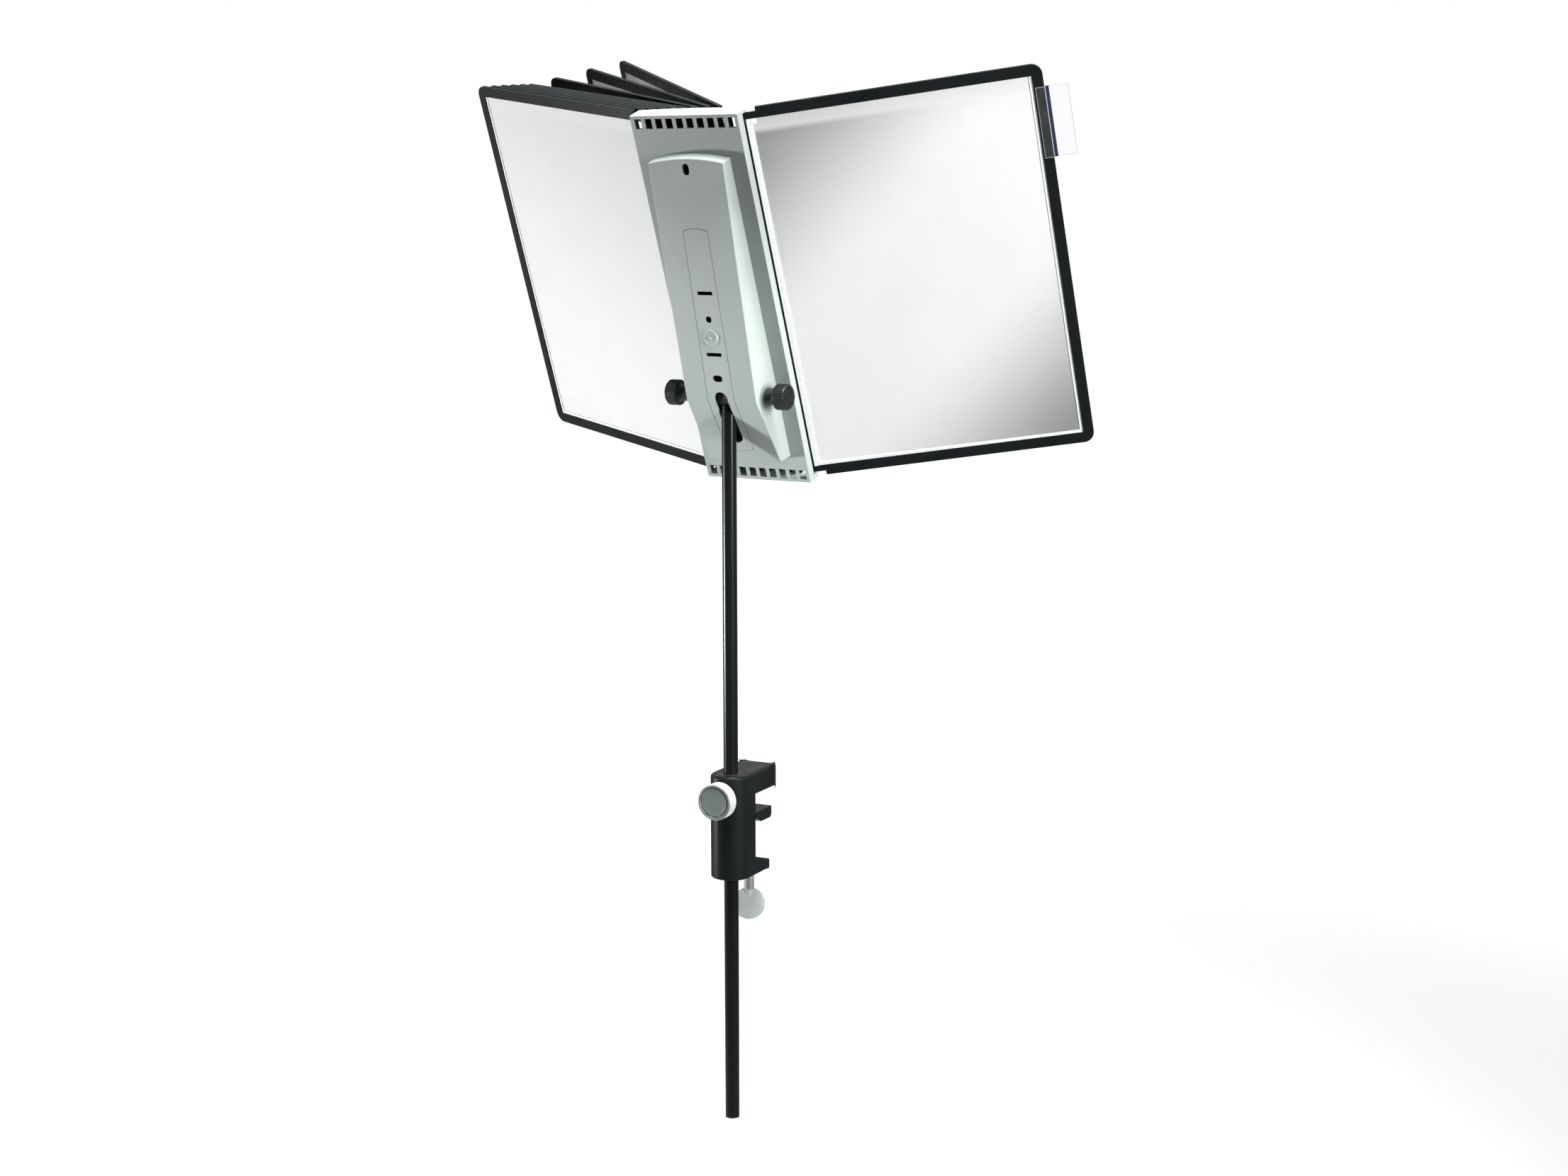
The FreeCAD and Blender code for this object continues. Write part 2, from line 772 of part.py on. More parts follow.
def insertPrism(name, gap):
    return padded(name, "XZ_Plane", [
        (f"insertHalfWidth + insertFlare + {gap}", f"-insertBottom - {gap}"),
        (f"insertHalfWidth + {gap}", f"insertTop + {gap}", "insertCrown"),
        (f"-insertHalfWidth - {gap}", f"insertTop + {gap}"),
        (f"-insertHalfWidth - insertFlare - {gap}", f"-insertBottom - {gap}", "2 * insertCrown"),
    ], "2 * coverBendDepth", offset="-railBack")


def frontHole(halfWidth, halfHeight, z):
    body = newBody("FrontHole")
    sketch = sketchOn(body, "XZ_Plane", "-railBack")
    oblong(sketch, "0", z, halfWidth, halfHeight)
    pad(body, sketch, "2 * coverBendDepth")
    return body


def frontSlot(z):
    return box("-slotHalfWidth", "railBack - 2 * coverBendDepth", f"{z} - slotHalfHeight",
               "2 * slotHalfWidth", "2 * coverBendDepth", "2 * slotHalfHeight")


def sidewaysHole(z):
    body = newBody("SidewaysHole")
    sketch = sketchOn(body, "XZ_Plane", "-railBack")
    outline(sketch, [
        ("-levelHoleHalf", f"{z} - levelHoleRadius"),
        ("levelHoleHalf", f"{z} - levelHoleRadius", "levelHoleRadius"),
        ("levelHoleHalf", f"{z} + levelHoleRadius"),
        ("-levelHoleHalf", f"{z} + levelHoleRadius", "levelHoleRadius"),
    ])
    pad(body, sketch, "2 * coverBendDepth")
    return body


def tubeSlot():
    middle = "(tubeSlotTop - tubeSlotBottom) / 2"
    return frontHole("tubeSlotHalf", "(tubeSlotTop + tubeSlotBottom) / 2", middle)


def frontOpenings():
    return [
        tubeSlot(),
        sidewaysHole("levelHoleHeight"),
        frontSlot("lowSlotHeight"),
        frontSlot("highSlotHeight"),
        cylinder("roundHoleRadius", "2 * coverBendDepth", "0", "railBack - 2 * coverBendDepth",
                 "roundHoleHeight", axis=(0, 1, 0)),
    ]


def bracketCover():
    outer = coverBlock("CoverOuter", "0")
    inner = coverBlock("CoverInner", "coverWall")
    shell = cut(outer, inner)
    bosses = []
    for start in ("teeArmEnd + runClearance", "-coverHalfWidth"):
        bosses.append(box(start, "-coverBossHalf", "-coverBossHalf",
                          "coverHalfWidth - teeArmEnd - runClearance", "2 * coverBossHalf",
                          "2 * coverBossHalf"))
    hooks = [piece for x, z in hookPlaces() for piece in coverHook(x, z)]
    limit = join(coverBlock("CoverFill", "0.5"),
                 box("-coverHalfWidth", "railBack - 0.01", "-coverDrop", "2 * coverHalfWidth",
                     "railPlate + 2 * hookCatch", "coverDrop + coverTop"))
    whole = join(shell, common(join(*bosses, *hooks), limit))
    recess = common(insertPrism("InsertRecess", "insertGap"),
                    frontLayer("RecessLayer", "-3", "3 + insertThickness"))
    return cut(
        whole,
        recess,
        frontHole("uprightHoleRadius", "uprightHoleHalf", "uprightHoleHeight"),
        cylinder("tiltStudRadius + 2 * runClearance", "3 * coverHalfWidth", "-1.5 * coverHalfWidth",
                 "0", "0", axis=(1, 0, 0)),
        *frontOpenings(),
    )


def bracketInsert():
    plate = common(insertPrism("InsertPlate", "0"), frontLayer("InsertLayer", "0", "insertThickness"))
    return cut(plate, *frontOpenings())


# The leaves, in their own frame.

LEAF_TOP = "(railLength - railDrop - leafEndGap)"
LEAF_BOTTOM = "(leafEndGap - railDrop)"
WINDOW_END = "(leafReach - leafOuterBar)"
BAR_TOP = f"({LEAF_TOP} - leafBar)"
BAR_BOTTOM = f"({LEAF_BOTTOM} + leafBar)"


def leafPlace(leaf):
    angles = {7: "leafSevenAngle", 8: "leafEightAngle", 9: "leafNineAngle", 10: "leafTenAngle"}
    angle = angles.get(leaf, "parallelAngle")
    at = f"vector({pivotX(leaf)}; {pivotY(leaf)}; 0)"
    return f"{AT_HEAD} * placement({at}; rotation(vector(0; 0; 1); 180 - {angle}))"


def leafFrame():
    body = newBody("LeafFrame")
    sketch = sketchOn(body, "XZ_Plane")
    outline(sketch, [
        ("-leafSpineBack", f"{LEAF_BOTTOM} + leafStepDepth"),
        ("leafStepLength", f"{LEAF_BOTTOM} + leafStepDepth"),
        ("leafStepLength", LEAF_BOTTOM),
        ("leafReach", LEAF_BOTTOM),
        ("leafReach", LEAF_TOP),
        ("leafStepLength", LEAF_TOP),
        ("leafStepLength", f"{LEAF_TOP} - leafStepDepth"),
        ("-leafSpineBack", f"{LEAF_TOP} - leafStepDepth"),
    ])
    rectangle(sketch, "windowStart", BAR_BOTTOM, WINDOW_END, BAR_TOP)
    pad(body, sketch, "leafThickness", isSymmetric=True)
    reach = number("leafReach")
    fillet(body, "leafCornerRadius", lambda e: e.BoundBox.XMin > reach - 0.01
           and e.BoundBox.ZLength < 0.01)
    low = cylinder("pegRadius", f"{PEG_LENGTH} + 2", "0", "0",
                   f"{LEAF_BOTTOM} + leafStepDepth - {PEG_LENGTH}")
    high = prism("pegRadius", f"{PEG_LENGTH} + 2", f"{LEAF_TOP} - leafStepDepth - 2")
    groove = box(f"{SHEET_LEFT} - sheetClearance", "-pocketGap / 2", BAR_TOP,
                 f"{SHEET_WIDTH} + 2 * sheetClearance", "pocketGap",
                 f"{SHEET_TOP} - {BAR_TOP} + sheetClearance")
    return cut(join(body, low, high), groove)


PEG_LENGTH = "(leafStepDepth + leafEndGap - flangeThickness + socketDepth - sheetClearance)"
SHEET_LEFT = "(windowStart + sheetInnerMargin)"
SHEET_WIDTH = f"({WINDOW_END} - sheetOuterMargin - {SHEET_LEFT})"
SHEET_BOTTOM = f"({BAR_BOTTOM} + sheetRise)"
SHEET_TOP = f"({LEAF_TOP} - sheetTopInset)"


def leafPocket():
    depth = "(2 * filmThickness + pocketGap)"
    slab = box("windowStart", f"-{depth} / 2", BAR_BOTTOM, f"{WINDOW_END} - windowStart", depth,
               f"{BAR_TOP} - {BAR_BOTTOM}")
    inside = box(f"{SHEET_LEFT} - sheetClearance", "-pocketGap / 2",
                 f"{SHEET_BOTTOM} - sheetClearance", f"{SHEET_WIDTH} + 2 * sheetClearance",
                 "pocketGap", f"{BAR_TOP} - {SHEET_BOTTOM} + 1")
    opening = box("windowStart + weldWidth", f"-{depth} / 2 - 1", f"{BAR_TOP} - frontFilmDrop",
                  f"{WINDOW_END} - windowStart - 2 * weldWidth", f"1 + {depth} / 2",
                  "frontFilmDrop + 1")
    middle = f"((windowStart + {WINDOW_END}) / 2 - notchOffset)"
    edge = f"({BAR_TOP} - frontFilmDrop)"
    notch = padded("Notch", "XZ_Plane", [
        (f"{middle} + notchHalfWidth", f"{edge} + 1"),
        (f"{middle} - notchHalfWidth", f"{edge} + 1"),
        (f"{middle} - 0.8 * notchHalfWidth", f"{edge} - 0.6 * notchDepth"),
        (f"{middle} - 0.4 * notchHalfWidth", f"{edge} - notchDepth"),
        (f"{middle} + 0.4 * notchHalfWidth", f"{edge} - notchDepth"),
        (f"{middle} + 0.8 * notchHalfWidth", f"{edge} - 0.6 * notchDepth"),
    ], f"1 + {depth} / 2")
    return cut(slab, inside, opening, notch)


def insertSheet():
    return padded("InsertSheet", "XZ_Plane", [
        (SHEET_LEFT, SHEET_BOTTOM),
        (f"{SHEET_LEFT} + {SHEET_WIDTH}", SHEET_BOTTOM),
        (f"{SHEET_LEFT} + {SHEET_WIDTH}", SHEET_TOP),
        (SHEET_LEFT, SHEET_TOP),
    ], "sheetThickness", isSymmetric=True)


def indexTab():
    inner = "(leafThickness / 2 + runClearance)"
    outer = f"({inner} + tabWall)"
    edge = "(leafReach + runClearance)"
    return padded("TabClip", "XY_Plane", [
        ("leafReach - tabGrip", inner),
        (edge, inner),
        (edge, f"-{inner}"),
        ("leafReach - tabGrip", f"-{inner}"),
        ("leafReach - tabGrip", f"-{outer}"),
        (f"{edge} + tabWall", f"-{outer}"),
        (f"{edge} + tabWall", "-tabFlagThickness / 2"),
        (f"{edge} + tabFlag", "-tabFlagThickness / 2"),
        (f"{edge} + tabFlag", "tabFlagThickness / 2"),
        (f"{edge} + tabWall", "tabFlagThickness / 2"),
        (f"{edge} + tabWall", outer),
        ("leafReach - tabGrip", outer),
    ], "tabLength", offset=f"{LEAF_TOP} - tabTopInset - tabLength")


def makeClamp():
    node(clampBody(), "clamp_body")
    node(poleBush(), "pole_bush", AT_TUBE)
    node(poleTube(), "pole_tube", AT_TUBE)
    node(poleEndCap(), "pole_end_cap", AT_TUBE)
    node(pressureJaw(), "pressure_jaw")
    node(clampSpindle(), "clamp_spindle")
    node(spindleClip(), "spindle_clip")
    node(thumbDisc(), "thumb_disc", "placement(vector(0; 0; 0); rotation(vector(0; 0; 1); discTurn))")
    node(lockShoe(), "lock_shoe", AT_LOCK)
    node(lockScrew(), "lock_screw", AT_LOCK)
    node(lockKnob(), "lock_knob", AT_LOCK)
    node(lockKnobCap(), "lock_knob_cap", AT_LOCK)


def makeTilt():
    node(tiltTee(), "tilt_tee", AT_TILT)
    for side, along in (("right", ALONG_X), ("left", ALONG_BACK_X)):
        place = f"{AT_TILT} * {along}"
        node(tiltStud(), f"tilt_stud_{side}", place)
        node(tiltKnob(), f"tilt_knob_{side}", place)


def makeHead():
    node(panelRail(), "panel_rail", AT_HEAD)
    node(bracketCover(), "bracket_cover", AT_HEAD)
    node(bracketInsert(), "bracket_insert", AT_HEAD)
    for leaf in range(1, LEAVES + 1):
        node(leafFrame(), f"leaf_frame_{leaf}", leafPlace(leaf))
        node(leafPocket(), f"leaf_pocket_{leaf}", leafPlace(leaf))
        node(insertSheet(), f"leaf_sheet_{leaf}", leafPlace(leaf))
    node(indexTab(), "index_tab", leafPlace(LEAVES))


def check():
    for thing in doc.Objects:
        if "Invalid" in thing.State or "Error" in thing.State:
            raise RuntimeError(f"{thing.Name} failed: {thing.State}")
    for piece in nodes:
        if piece.Shape.isNull() or not piece.Shape.isValid():
            raise RuntimeError(f"{piece.Label} has no valid shape")


def write():
    os.makedirs("parts", exist_ok=True)
    for piece in nodes:
        piece.Shape.exportStep(f"parts/{piece.Label}.step")
        print(piece.Label, len(piece.Shape.Solids), round(piece.Shape.Volume, 1))


makeClamp()
makeTilt()
makeHead()
doc.recompute()
check()
write()
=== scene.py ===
import math

import bmesh
import bpy
from mathutils import Matrix, Vector


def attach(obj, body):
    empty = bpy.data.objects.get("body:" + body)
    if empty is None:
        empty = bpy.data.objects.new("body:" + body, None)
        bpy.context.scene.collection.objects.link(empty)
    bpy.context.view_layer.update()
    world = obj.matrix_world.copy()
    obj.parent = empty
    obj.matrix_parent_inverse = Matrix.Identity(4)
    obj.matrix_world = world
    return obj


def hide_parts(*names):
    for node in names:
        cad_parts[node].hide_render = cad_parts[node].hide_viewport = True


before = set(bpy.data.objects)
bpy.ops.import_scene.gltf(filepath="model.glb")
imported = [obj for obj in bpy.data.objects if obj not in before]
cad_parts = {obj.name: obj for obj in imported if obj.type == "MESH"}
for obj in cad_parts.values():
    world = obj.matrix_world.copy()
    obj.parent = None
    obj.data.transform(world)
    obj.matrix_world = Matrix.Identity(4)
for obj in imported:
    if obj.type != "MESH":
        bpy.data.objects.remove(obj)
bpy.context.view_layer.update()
sceneRoot = bpy.context.scene.collection
print("frame loaded:", len(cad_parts), "nodes")

mm = 0.001


# Sizes that the CAD has too, in mm and degrees, and its slopes as ratios.

sizes = {
    "tubeOffset": 31.5,
    "tiltHeight": 330.7,
    "headTurn": -4.4,
    "headLean": 20.7,
    "railBack": 16.7,
    "railHalfWidth": 49.6,
    "flangeDepthEnd": 14.0,
    "flangeCrown": 3.0,
    "leafPitch": 9.56,
    "middleOfLeaves": 5.5,
    "pivotSetback": 2.8,
    "coverBend": 12.7,
    "coverUpperSlope": 0.0995,
    "coverLowerSlope": 0.2655,
}


# Frames of the tilting head, its leaves and its knobs, in metres.


def turned(degrees, axis):
    return Matrix.Rotation(math.radians(degrees), 4, axis)


tiltPlace = Matrix.Translation((0, -sizes["tubeOffset"] * mm, sizes["tiltHeight"] * mm))
tiltFrame = tiltPlace @ turned(sizes["headTurn"], "Z")
headFrame = tiltFrame @ turned(sizes["headLean"], "X")
lockFrame = Matrix.Translation((0, -sizes["tubeOffset"] * mm, 0)) @ turned(90, "X")
knobFrames = {
    "right": tiltFrame @ turned(90, "Y"),
    "left": tiltFrame @ turned(-90, "Y"),
}
leafAngles = {**{leaf: 19.5 for leaf in range(1, 7)}, 7: 23.8, 8: 30.2, 9: 35.9, 10: 156.8}


def leafFrame(leaf):
    x = sizes["leafPitch"] * (leaf - sizes["middleOfLeaves"])
    crown = sizes["flangeCrown"] * (1 - (x / sizes["railHalfWidth"]) ** 2)
    y = sizes["railBack"] + sizes["flangeDepthEnd"] + crown - sizes["pivotSetback"]
    turn = turned(180 - leafAngles[leaf], "Z")
    return headFrame @ Matrix.Translation((x * mm, y * mm, 0)) @ turn


# Camera and light.

photoCamera = {
    "place": Vector((0.9555, -1.8285, 0.4876)),
    "heading": 26.76,
    "pitch": -8.79,
    "roll": -0.1,
    "lens": 58.005,
    "sensor": 36.0,
    "farEnd": 40.0,
}


def makeCamera(look):
    heading = math.radians(look["heading"])
    pitch = math.radians(look["pitch"])
    roll = math.radians(look["roll"])
    ahead = Vector((-math.sin(heading) * math.cos(pitch), math.cos(heading) * math.cos(pitch),
                    math.sin(pitch)))
    level = Vector((math.cos(heading), math.sin(heading), 0))
    up = level.cross(ahead)
    right = level * math.cos(roll) + up * math.sin(roll)
    top = up * math.cos(roll) - level * math.sin(roll)
    data = bpy.data.cameras.new("photoCamera")
    data.sensor_fit = "HORIZONTAL"
    data.sensor_width = look["sensor"]
    data.lens = look["lens"]
    data.clip_end = look["farEnd"]
    camera = bpy.data.objects.new("photoCamera", data)
    turn = Matrix((right, top, -ahead)).transposed().to_4x4()
    camera.matrix_world = Matrix.Translation(look["place"]) @ turn
    sceneRoot.objects.link(camera)
    bpy.context.scene.camera = camera
    return ahead


lookAhead = makeCamera(photoCamera)
bpy.context.scene.view_settings.view_transform = "Standard"

lamps = {
    "above": {"place": (0.25, -0.25, 1.4), "target": (0.0, -0.05, 0.5), "size": (0.5, 0.5),
              "spread": 60, "power": 8.2},
    "right": {"place": (1.9, -0.6, 0.55), "target": (0.0, 0.0, 0.35), "size": (0.5, 0.9),
              "spread": 70, "power": 10.5},
    "left": {"place": (-1.6, -0.66, -0.12), "target": (0.0, 0.0, 0.28), "size": (0.2, 0.2),
             "spread": 80, "power": 7.4},
}

for name, lamp in lamps.items():
    light = bpy.data.lights.new(name, "AREA")
    light.shape = "RECTANGLE"
    light.size, light.size_y = lamp["size"]
    light.energy = lamp["power"]
    light.spread = math.radians(lamp["spread"])
    holder = bpy.data.objects.new(name, light)
    holder.location = lamp["place"]
    aim = Vector(lamp["target"]) - Vector(lamp["place"])
    holder.rotation_euler = aim.to_track_quat("-Z", "Y").to_euler()
    sceneRoot.objects.link(holder)


class Wire:
    # A node's output that takes part in sums as a number does.
    def __init__(self, tree, socket):
        self.tree = tree
        self.socket = socket

    def math(self, operation, other=0.0):
        return makeNode(self.tree, "ShaderNodeMath", [self, other], operation=operation)

    def __add__(self, other):
        return self.math("ADD", other)

    def __sub__(self, other):
        return self.math("SUBTRACT", other)

    def __rsub__(self, other):
        return makeNode(self.tree, "ShaderNodeMath", [other, self], operation="SUBTRACT")

    def __mul__(self, other):
        return self.math("MULTIPLY", other)

    def __truediv__(self, other):
        return self.math("DIVIDE", other)


def makeNode(tree, kind, inputs=(), output=0, **properties):
    node = tree.nodes.new(kind)
    for name, value in properties.items():
        setattr(node, name, value)
    entries = inputs.items() if isinstance(inputs, dict) else enumerate(inputs)
    for key, value in entries:
        if isinstance(value, Wire):
            tree.links.new(value.socket, node.inputs[key])
        else:
            node.inputs[key].default_value = value
    return Wire(tree, node.outputs[output])


def remap(wire, low, high, start, end):
    return makeNode(wire.tree, "ShaderNodeMapRange", [wire, low, high, start, end],
                    interpolation_type="SMOOTHSTEP")


def above(wire, limit, fade):
    # 0 up to a limit in mm, 1 from a fade further on.
    return remap(wire, limit * mm, (limit + fade) * mm, 0.0, 1.0)


def below(wire, limit, fade):
    return 1.0 - above(wire, limit, fade)


def spread(wire, start, end):
    # A noise's usual range, stretched from start to end.
    return remap(wire, 0.3, 0.7, start, end)


def lightPath(tree, kind):
    node = makeNode(tree, "ShaderNodeLightPath").socket.node
    return Wire(tree, node.outputs[kind])


worldLook = {
    "behind": {"level": 0.55, "from": 0.35, "full": 0.8},
    "above": {"level": 0.15, "from": 0.3, "full": 0.9},
    "around": 0.09,
}


def makeWorld(look):
    # The camera sees white, mirrored and refracted rays see a pale wall behind, and the rest is dim.
    world = bpy.data.worlds.new("studio")
    world.use_nodes = True
    tree = world.node_tree
    direction = makeNode(tree, "ShaderNodeTexCoord")
    flat = Vector((lookAhead.x, lookAhead.y, 0)).normalized()
    facing = makeNode(tree, "ShaderNodeVectorMath", [direction, flat], output=1,
                      operation="DOT_PRODUCT")
    height = makeNode(tree, "ShaderNodeVectorMath", [direction, (0.0, 0.0, 1.0)], output=1,
                      operation="DOT_PRODUCT")
    wall = look["behind"]
    sky = look["above"]
    behind = remap(facing, wall["from"], wall["full"], 0.0, wall["level"])
    overhead = remap(height, sky["from"], sky["full"], 0.0, sky["level"])
    mirrored = behind * (lightPath(tree, "Is Glossy Ray") + lightPath(tree, "Is Transmission Ray"))
    level = mirrored.math("MAXIMUM", overhead) + look["around"]
    level = level.math("MAXIMUM", lightPath(tree, "Is Camera Ray"))
    background = tree.nodes["Background"]
    background.inputs["Color"].default_value = (1.0, 1.0, 1.0, 1.0)
    tree.links.new(level.socket, background.inputs["Strength"])
    bpy.context.scene.world = world


makeWorld(worldLook)


# Materials.


class Surface:
    def __init__(self, name):
        self.material = bpy.data.materials.new(name)
        self.material.use_nodes = True
        self.tree = self.material.node_tree
        self.shader = self.tree.nodes["Principled BSDF"]
        self.place = self.make("ShaderNodeTexCoord", output=3)

    def make(self, kind, inputs=(), output=0, **properties):
        return makeNode(self.tree, kind, inputs, output, **properties)

    def noise(self, scale, detail, place=None):
        return self.make("ShaderNodeTexNoise", {"Vector": place or self.place, "Scale": scale,
                                                "Detail": detail})

    def along(self, matrix, axis):
        # Distance in metres along an axis of the given frame.
        away = self.make("ShaderNodeVectorMath", [self.place, matrix.translation],
                         operation="SUBTRACT")
        direction = matrix.col[axis].to_3d()
        return self.make("ShaderNodeVectorMath", [away, direction], output=1,
                         operation="DOT_PRODUCT")

    def mix(self, factor, first, second):
        return self.make("ShaderNodeMix", {0: factor, 6: first, 7: second}, output=2,
                         data_type="RGBA")

    def bump(self, height, strength, distance):
        return self.make("ShaderNodeBump", {"Height": height, "Strength": strength,
                                            "Distance": distance})

    def set(self, **values):
        for name, value in values.items():
            socket = self.shader.inputs[name.replace("_", " ")]
            if isinstance(value, Wire):
                self.tree.links.new(value.socket, socket)
            else:
                socket.default_value = value
        return self.material


def shade(color, factor):
    return (*[min(1.0, part * factor) for part in color], 1.0)


unevenGloss = {"scale": 6, "spread": 0.05}


def moulded(name, look):
    # Plastic or enamel with a fine grain, a slow change of tone and uneven gloss.
    surface = Surface(name)
    tone = spread(surface.noise(look["toneScale"], 4.0), 0.0, 1.0)
    speck = surface.noise(look["grainScale"], 2.0)
    color = surface.mix(tone, shade(look["color"], 1 - look["spread"]),
                        shade(look["color"], 1 + look["spread"]))
    patches = surface.noise(look["toneScale"] * unevenGloss["scale"], 5.0)
    gloss = spread(patches, look["roughness"] - unevenGloss["spread"],
                   look["roughness"] + unevenGloss["spread"])
    grain = surface.bump(speck, look["grainStrength"], look["grainDepth"])
    surface.set(Base_Color=color, Roughness=gloss, Normal=grain, Specular_IOR_Level=look["specular"])
    return surface


looks = {
    "shell": {"color": (0.29, 0.328, 0.307), "spread": 0.025, "toneScale": 22.0,
              "grainScale": 2600.0, "grainStrength": 0.25, "grainDepth": 0.00006,
              "roughness": 0.46, "specular": 0.3},
    "clamp": {"color": (0.0062, 0.0082, 0.0084), "spread": 0.12, "toneScale": 30.0,
              "grainScale": 1500.0, "grainStrength": 0.35, "grainDepth": 0.00005,
              "roughness": 0.38, "specular": 0.09},
    "frameBlack": {"color": (0.0075, 0.0098, 0.0102), "spread": 0.12, "toneScale": 18.0,
                   "grainScale": 2200.0, "grainStrength": 0.12, "grainDepth": 0.00004,
                   "roughness": 0.42, "specular": 0.05},
    "plug": {"color": (0.014, 0.015, 0.016), "spread": 0.1, "toneScale": 60.0, "grainScale": 2400.0,
             "grainStrength": 0.3, "grainDepth": 0.00005, "roughness": 0.5, "specular": 0.2},
    "knobBlack": {"color": (0.0105, 0.013, 0.014), "spread": 0.14, "toneScale": 90.0,
                  "grainScale": 2600.0, "grainStrength": 0.3, "grainDepth": 0.00004,
                  "roughness": 0.4, "specular": 0.3},
    "knobGrey": {"color": (0.47, 0.52, 0.485), "spread": 0.04, "toneScale": 70.0,
                 "grainScale": 2600.0, "grainStrength": 0.3, "grainDepth": 0.00005,
                 "roughness": 0.45, "specular": 0.4},
    # A darker copy of the knob's grey: painted shade for the lock knob's front ring and disc.
    "knobShadeGrey": {"color": (0.105, 0.125, 0.112), "spread": 0.05, "toneScale": 70.0,
                "grainScale": 2600.0, "grainStrength": 0.3, "grainDepth": 0.00005,
                "roughness": 0.4, "specular": 0.4},
    "discGrey": {"color": (0.4, 0.435, 0.41), "spread": 0.06, "toneScale": 120.0,
                 "grainScale": 1400.0, "grainStrength": 0.5, "grainDepth": 0.00012,
                 "roughness": 0.5, "specular": 0.45},
}


# Places on the head in mm: across, up and into it from the tilt axis.

shellMarks = {
    "line": {"height": 175.0, "half": 0.1, "fade": 0.25, "left": -27.5, "right": 23.5,
             "endFade": 1.0, "face": 12.0, "faceFade": 1.5, "cut": 2.0},
    "grain": (0.3, 0.00008),
    "deep": {"from": 0.04, "fade": 0.14, "end": 11.5, "endFade": 0.5},
    "insert": {"half": 13.1, "bottom": -48.5, "top": 141.5},
    "tubeSlot": {"half": 6.8, "top": 8.5},
    "keyhole": {"half": 3.2, "bottom": 175.0, "top": 195.2},
    "edge": 0.1,
    # Colour of the painted shade inside the seam, slots and keyhole.
    "recess": (0.03, 0.036, 0.033, 1.0),
    # Painted light on the head's shell: darker towards the top and lighter towards the bottom, as the
    # light falls on it.
    "paintedShadeTop": {"height": 190.0, "shade": 0.72},
    "lower": {"height": 20.0, "shade": 1.18},
    "mottle": 0.06,
}


def shellMaterial(look, marks):
    # A faint level mould line crosses the cover's face. Painted shade darkens the seam, slots and holes
    # inside, and painted light makes the head darker towards the top and lighter towards the bottom.
    surface = moulded("shell", look)
    height = surface.along(headFrame, 2)
    across = surface.along(headFrame, 0)
    depth = surface.along(headFrame, 1)

    line = marks["line"]
    distance = (height - line["height"] * mm).math("ABSOLUTE")
    mark = below(distance, line["half"], line["fade"])
    fromLeft = above(across, line["left"], line["endFade"])
    fromRight = below(across, line["right"], line["endFade"])
    mark = mark * (fromLeft * fromRight) * below(depth, line["face"], line["faceFade"])
    fine = surface.noise(look["grainScale"], 2.0)
    grain = surface.bump(fine - mark * line["cut"], *marks["grain"])

    # Painted light: the colour goes from a darker copy at the top to a lighter copy at the bottom,
    # mixed with a random tone.
    paintedShadeTop = marks["paintedShadeTop"]
    lower = marks["lower"]
    tone = spread(surface.noise(look["toneScale"], 4.0), -marks["mottle"], marks["mottle"])
    low = remap(height, paintedShadeTop["height"] * mm, lower["height"] * mm, 0.0, 1.0) + tone
    color = surface.mix(low, shade(look["color"], paintedShadeTop["shade"]), shade(look["color"], lower["shade"]))

    upperFace = height * sizes["coverUpperSlope"]
    lowerFace = height * -sizes["coverLowerSlope"]
    front = upperFace.math("MAXIMUM", lowerFace) - sizes["coverBend"] * mm
    edge = marks["edge"]
    side = across.math("ABSOLUTE")
    under = marks["deep"]
    deep = above(depth - front, under["from"], under["fade"])
    deep = deep * below(depth, under["end"], under["endFade"])
    panel = marks["insert"]
    slot = marks["tubeSlot"]
    hole = marks["keyhole"]
    insert = below(side, panel["half"], edge) * below(height, panel["top"], edge)
    insert = insert * above(height, panel["bottom"], edge)
    tubeSlot = below(side, slot["half"], edge) * below(height, slot["top"], edge)
    keyhole = below(side, hole["half"], edge) * above(height, hole["bottom"], edge)
    keyhole = keyhole * below(height, hole["top"], edge)
    # Painted shade on the seam, slots and keyhole wherever they lie deeper than the face.
    recessShadeMask = (insert - tubeSlot).math("MAXIMUM", keyhole) * deep
    return surface.set(Base_Color=surface.mix(recessShadeMask, color, marks["recess"]), Normal=grain)


tubeLook = {
    "colors": ((0.0042, 0.006, 0.0057, 1.0), (0.0062, 0.0083, 0.008, 1.0)),
    "streakScale": 900.0,
    "streakStretch": 0.02,
    "streakRange": (0.25, 0.75),
    "streakShare": 0.5,
    "peelScale": 1300.0,
    "peelShare": 0.5,
    "roughness": (0.2, 0.25),
    "specular": 0.15,
    "bump": (0.1, 0.00003),
}


def tubeMaterial(look):
    # Drawn tube under a satin coat: the grain runs along it.
    surface = Surface("tube")
    stretched = surface.make("ShaderNodeMapping", {"Vector": surface.place,
                                                   "Scale": (1.0, 1.0, look["streakStretch"])})
    streak = surface.noise(look["streakScale"], 3.0, stretched)
    peel = surface.noise(look["peelScale"], 2.0)
    gloss = remap(streak, *look["streakRange"], *look["roughness"])
    grain = surface.bump(streak * look["streakShare"] + peel * look["peelShare"], *look["bump"])
    return surface.set(Base_Color=surface.mix(streak, *look["colors"]), Roughness=gloss, Normal=grain,
                       Specular_IOR_Level=look["specular"])


steelLook = {
    "colors": ((0.5, 0.52, 0.5, 1.0), (0.66, 0.67, 0.64, 1.0)),
    "blotchScale": 240.0,
    "fineScale": 4200.0,
    "roughness": (0.28, 0.42),
    "bump": (0.2, 0.00003),
}


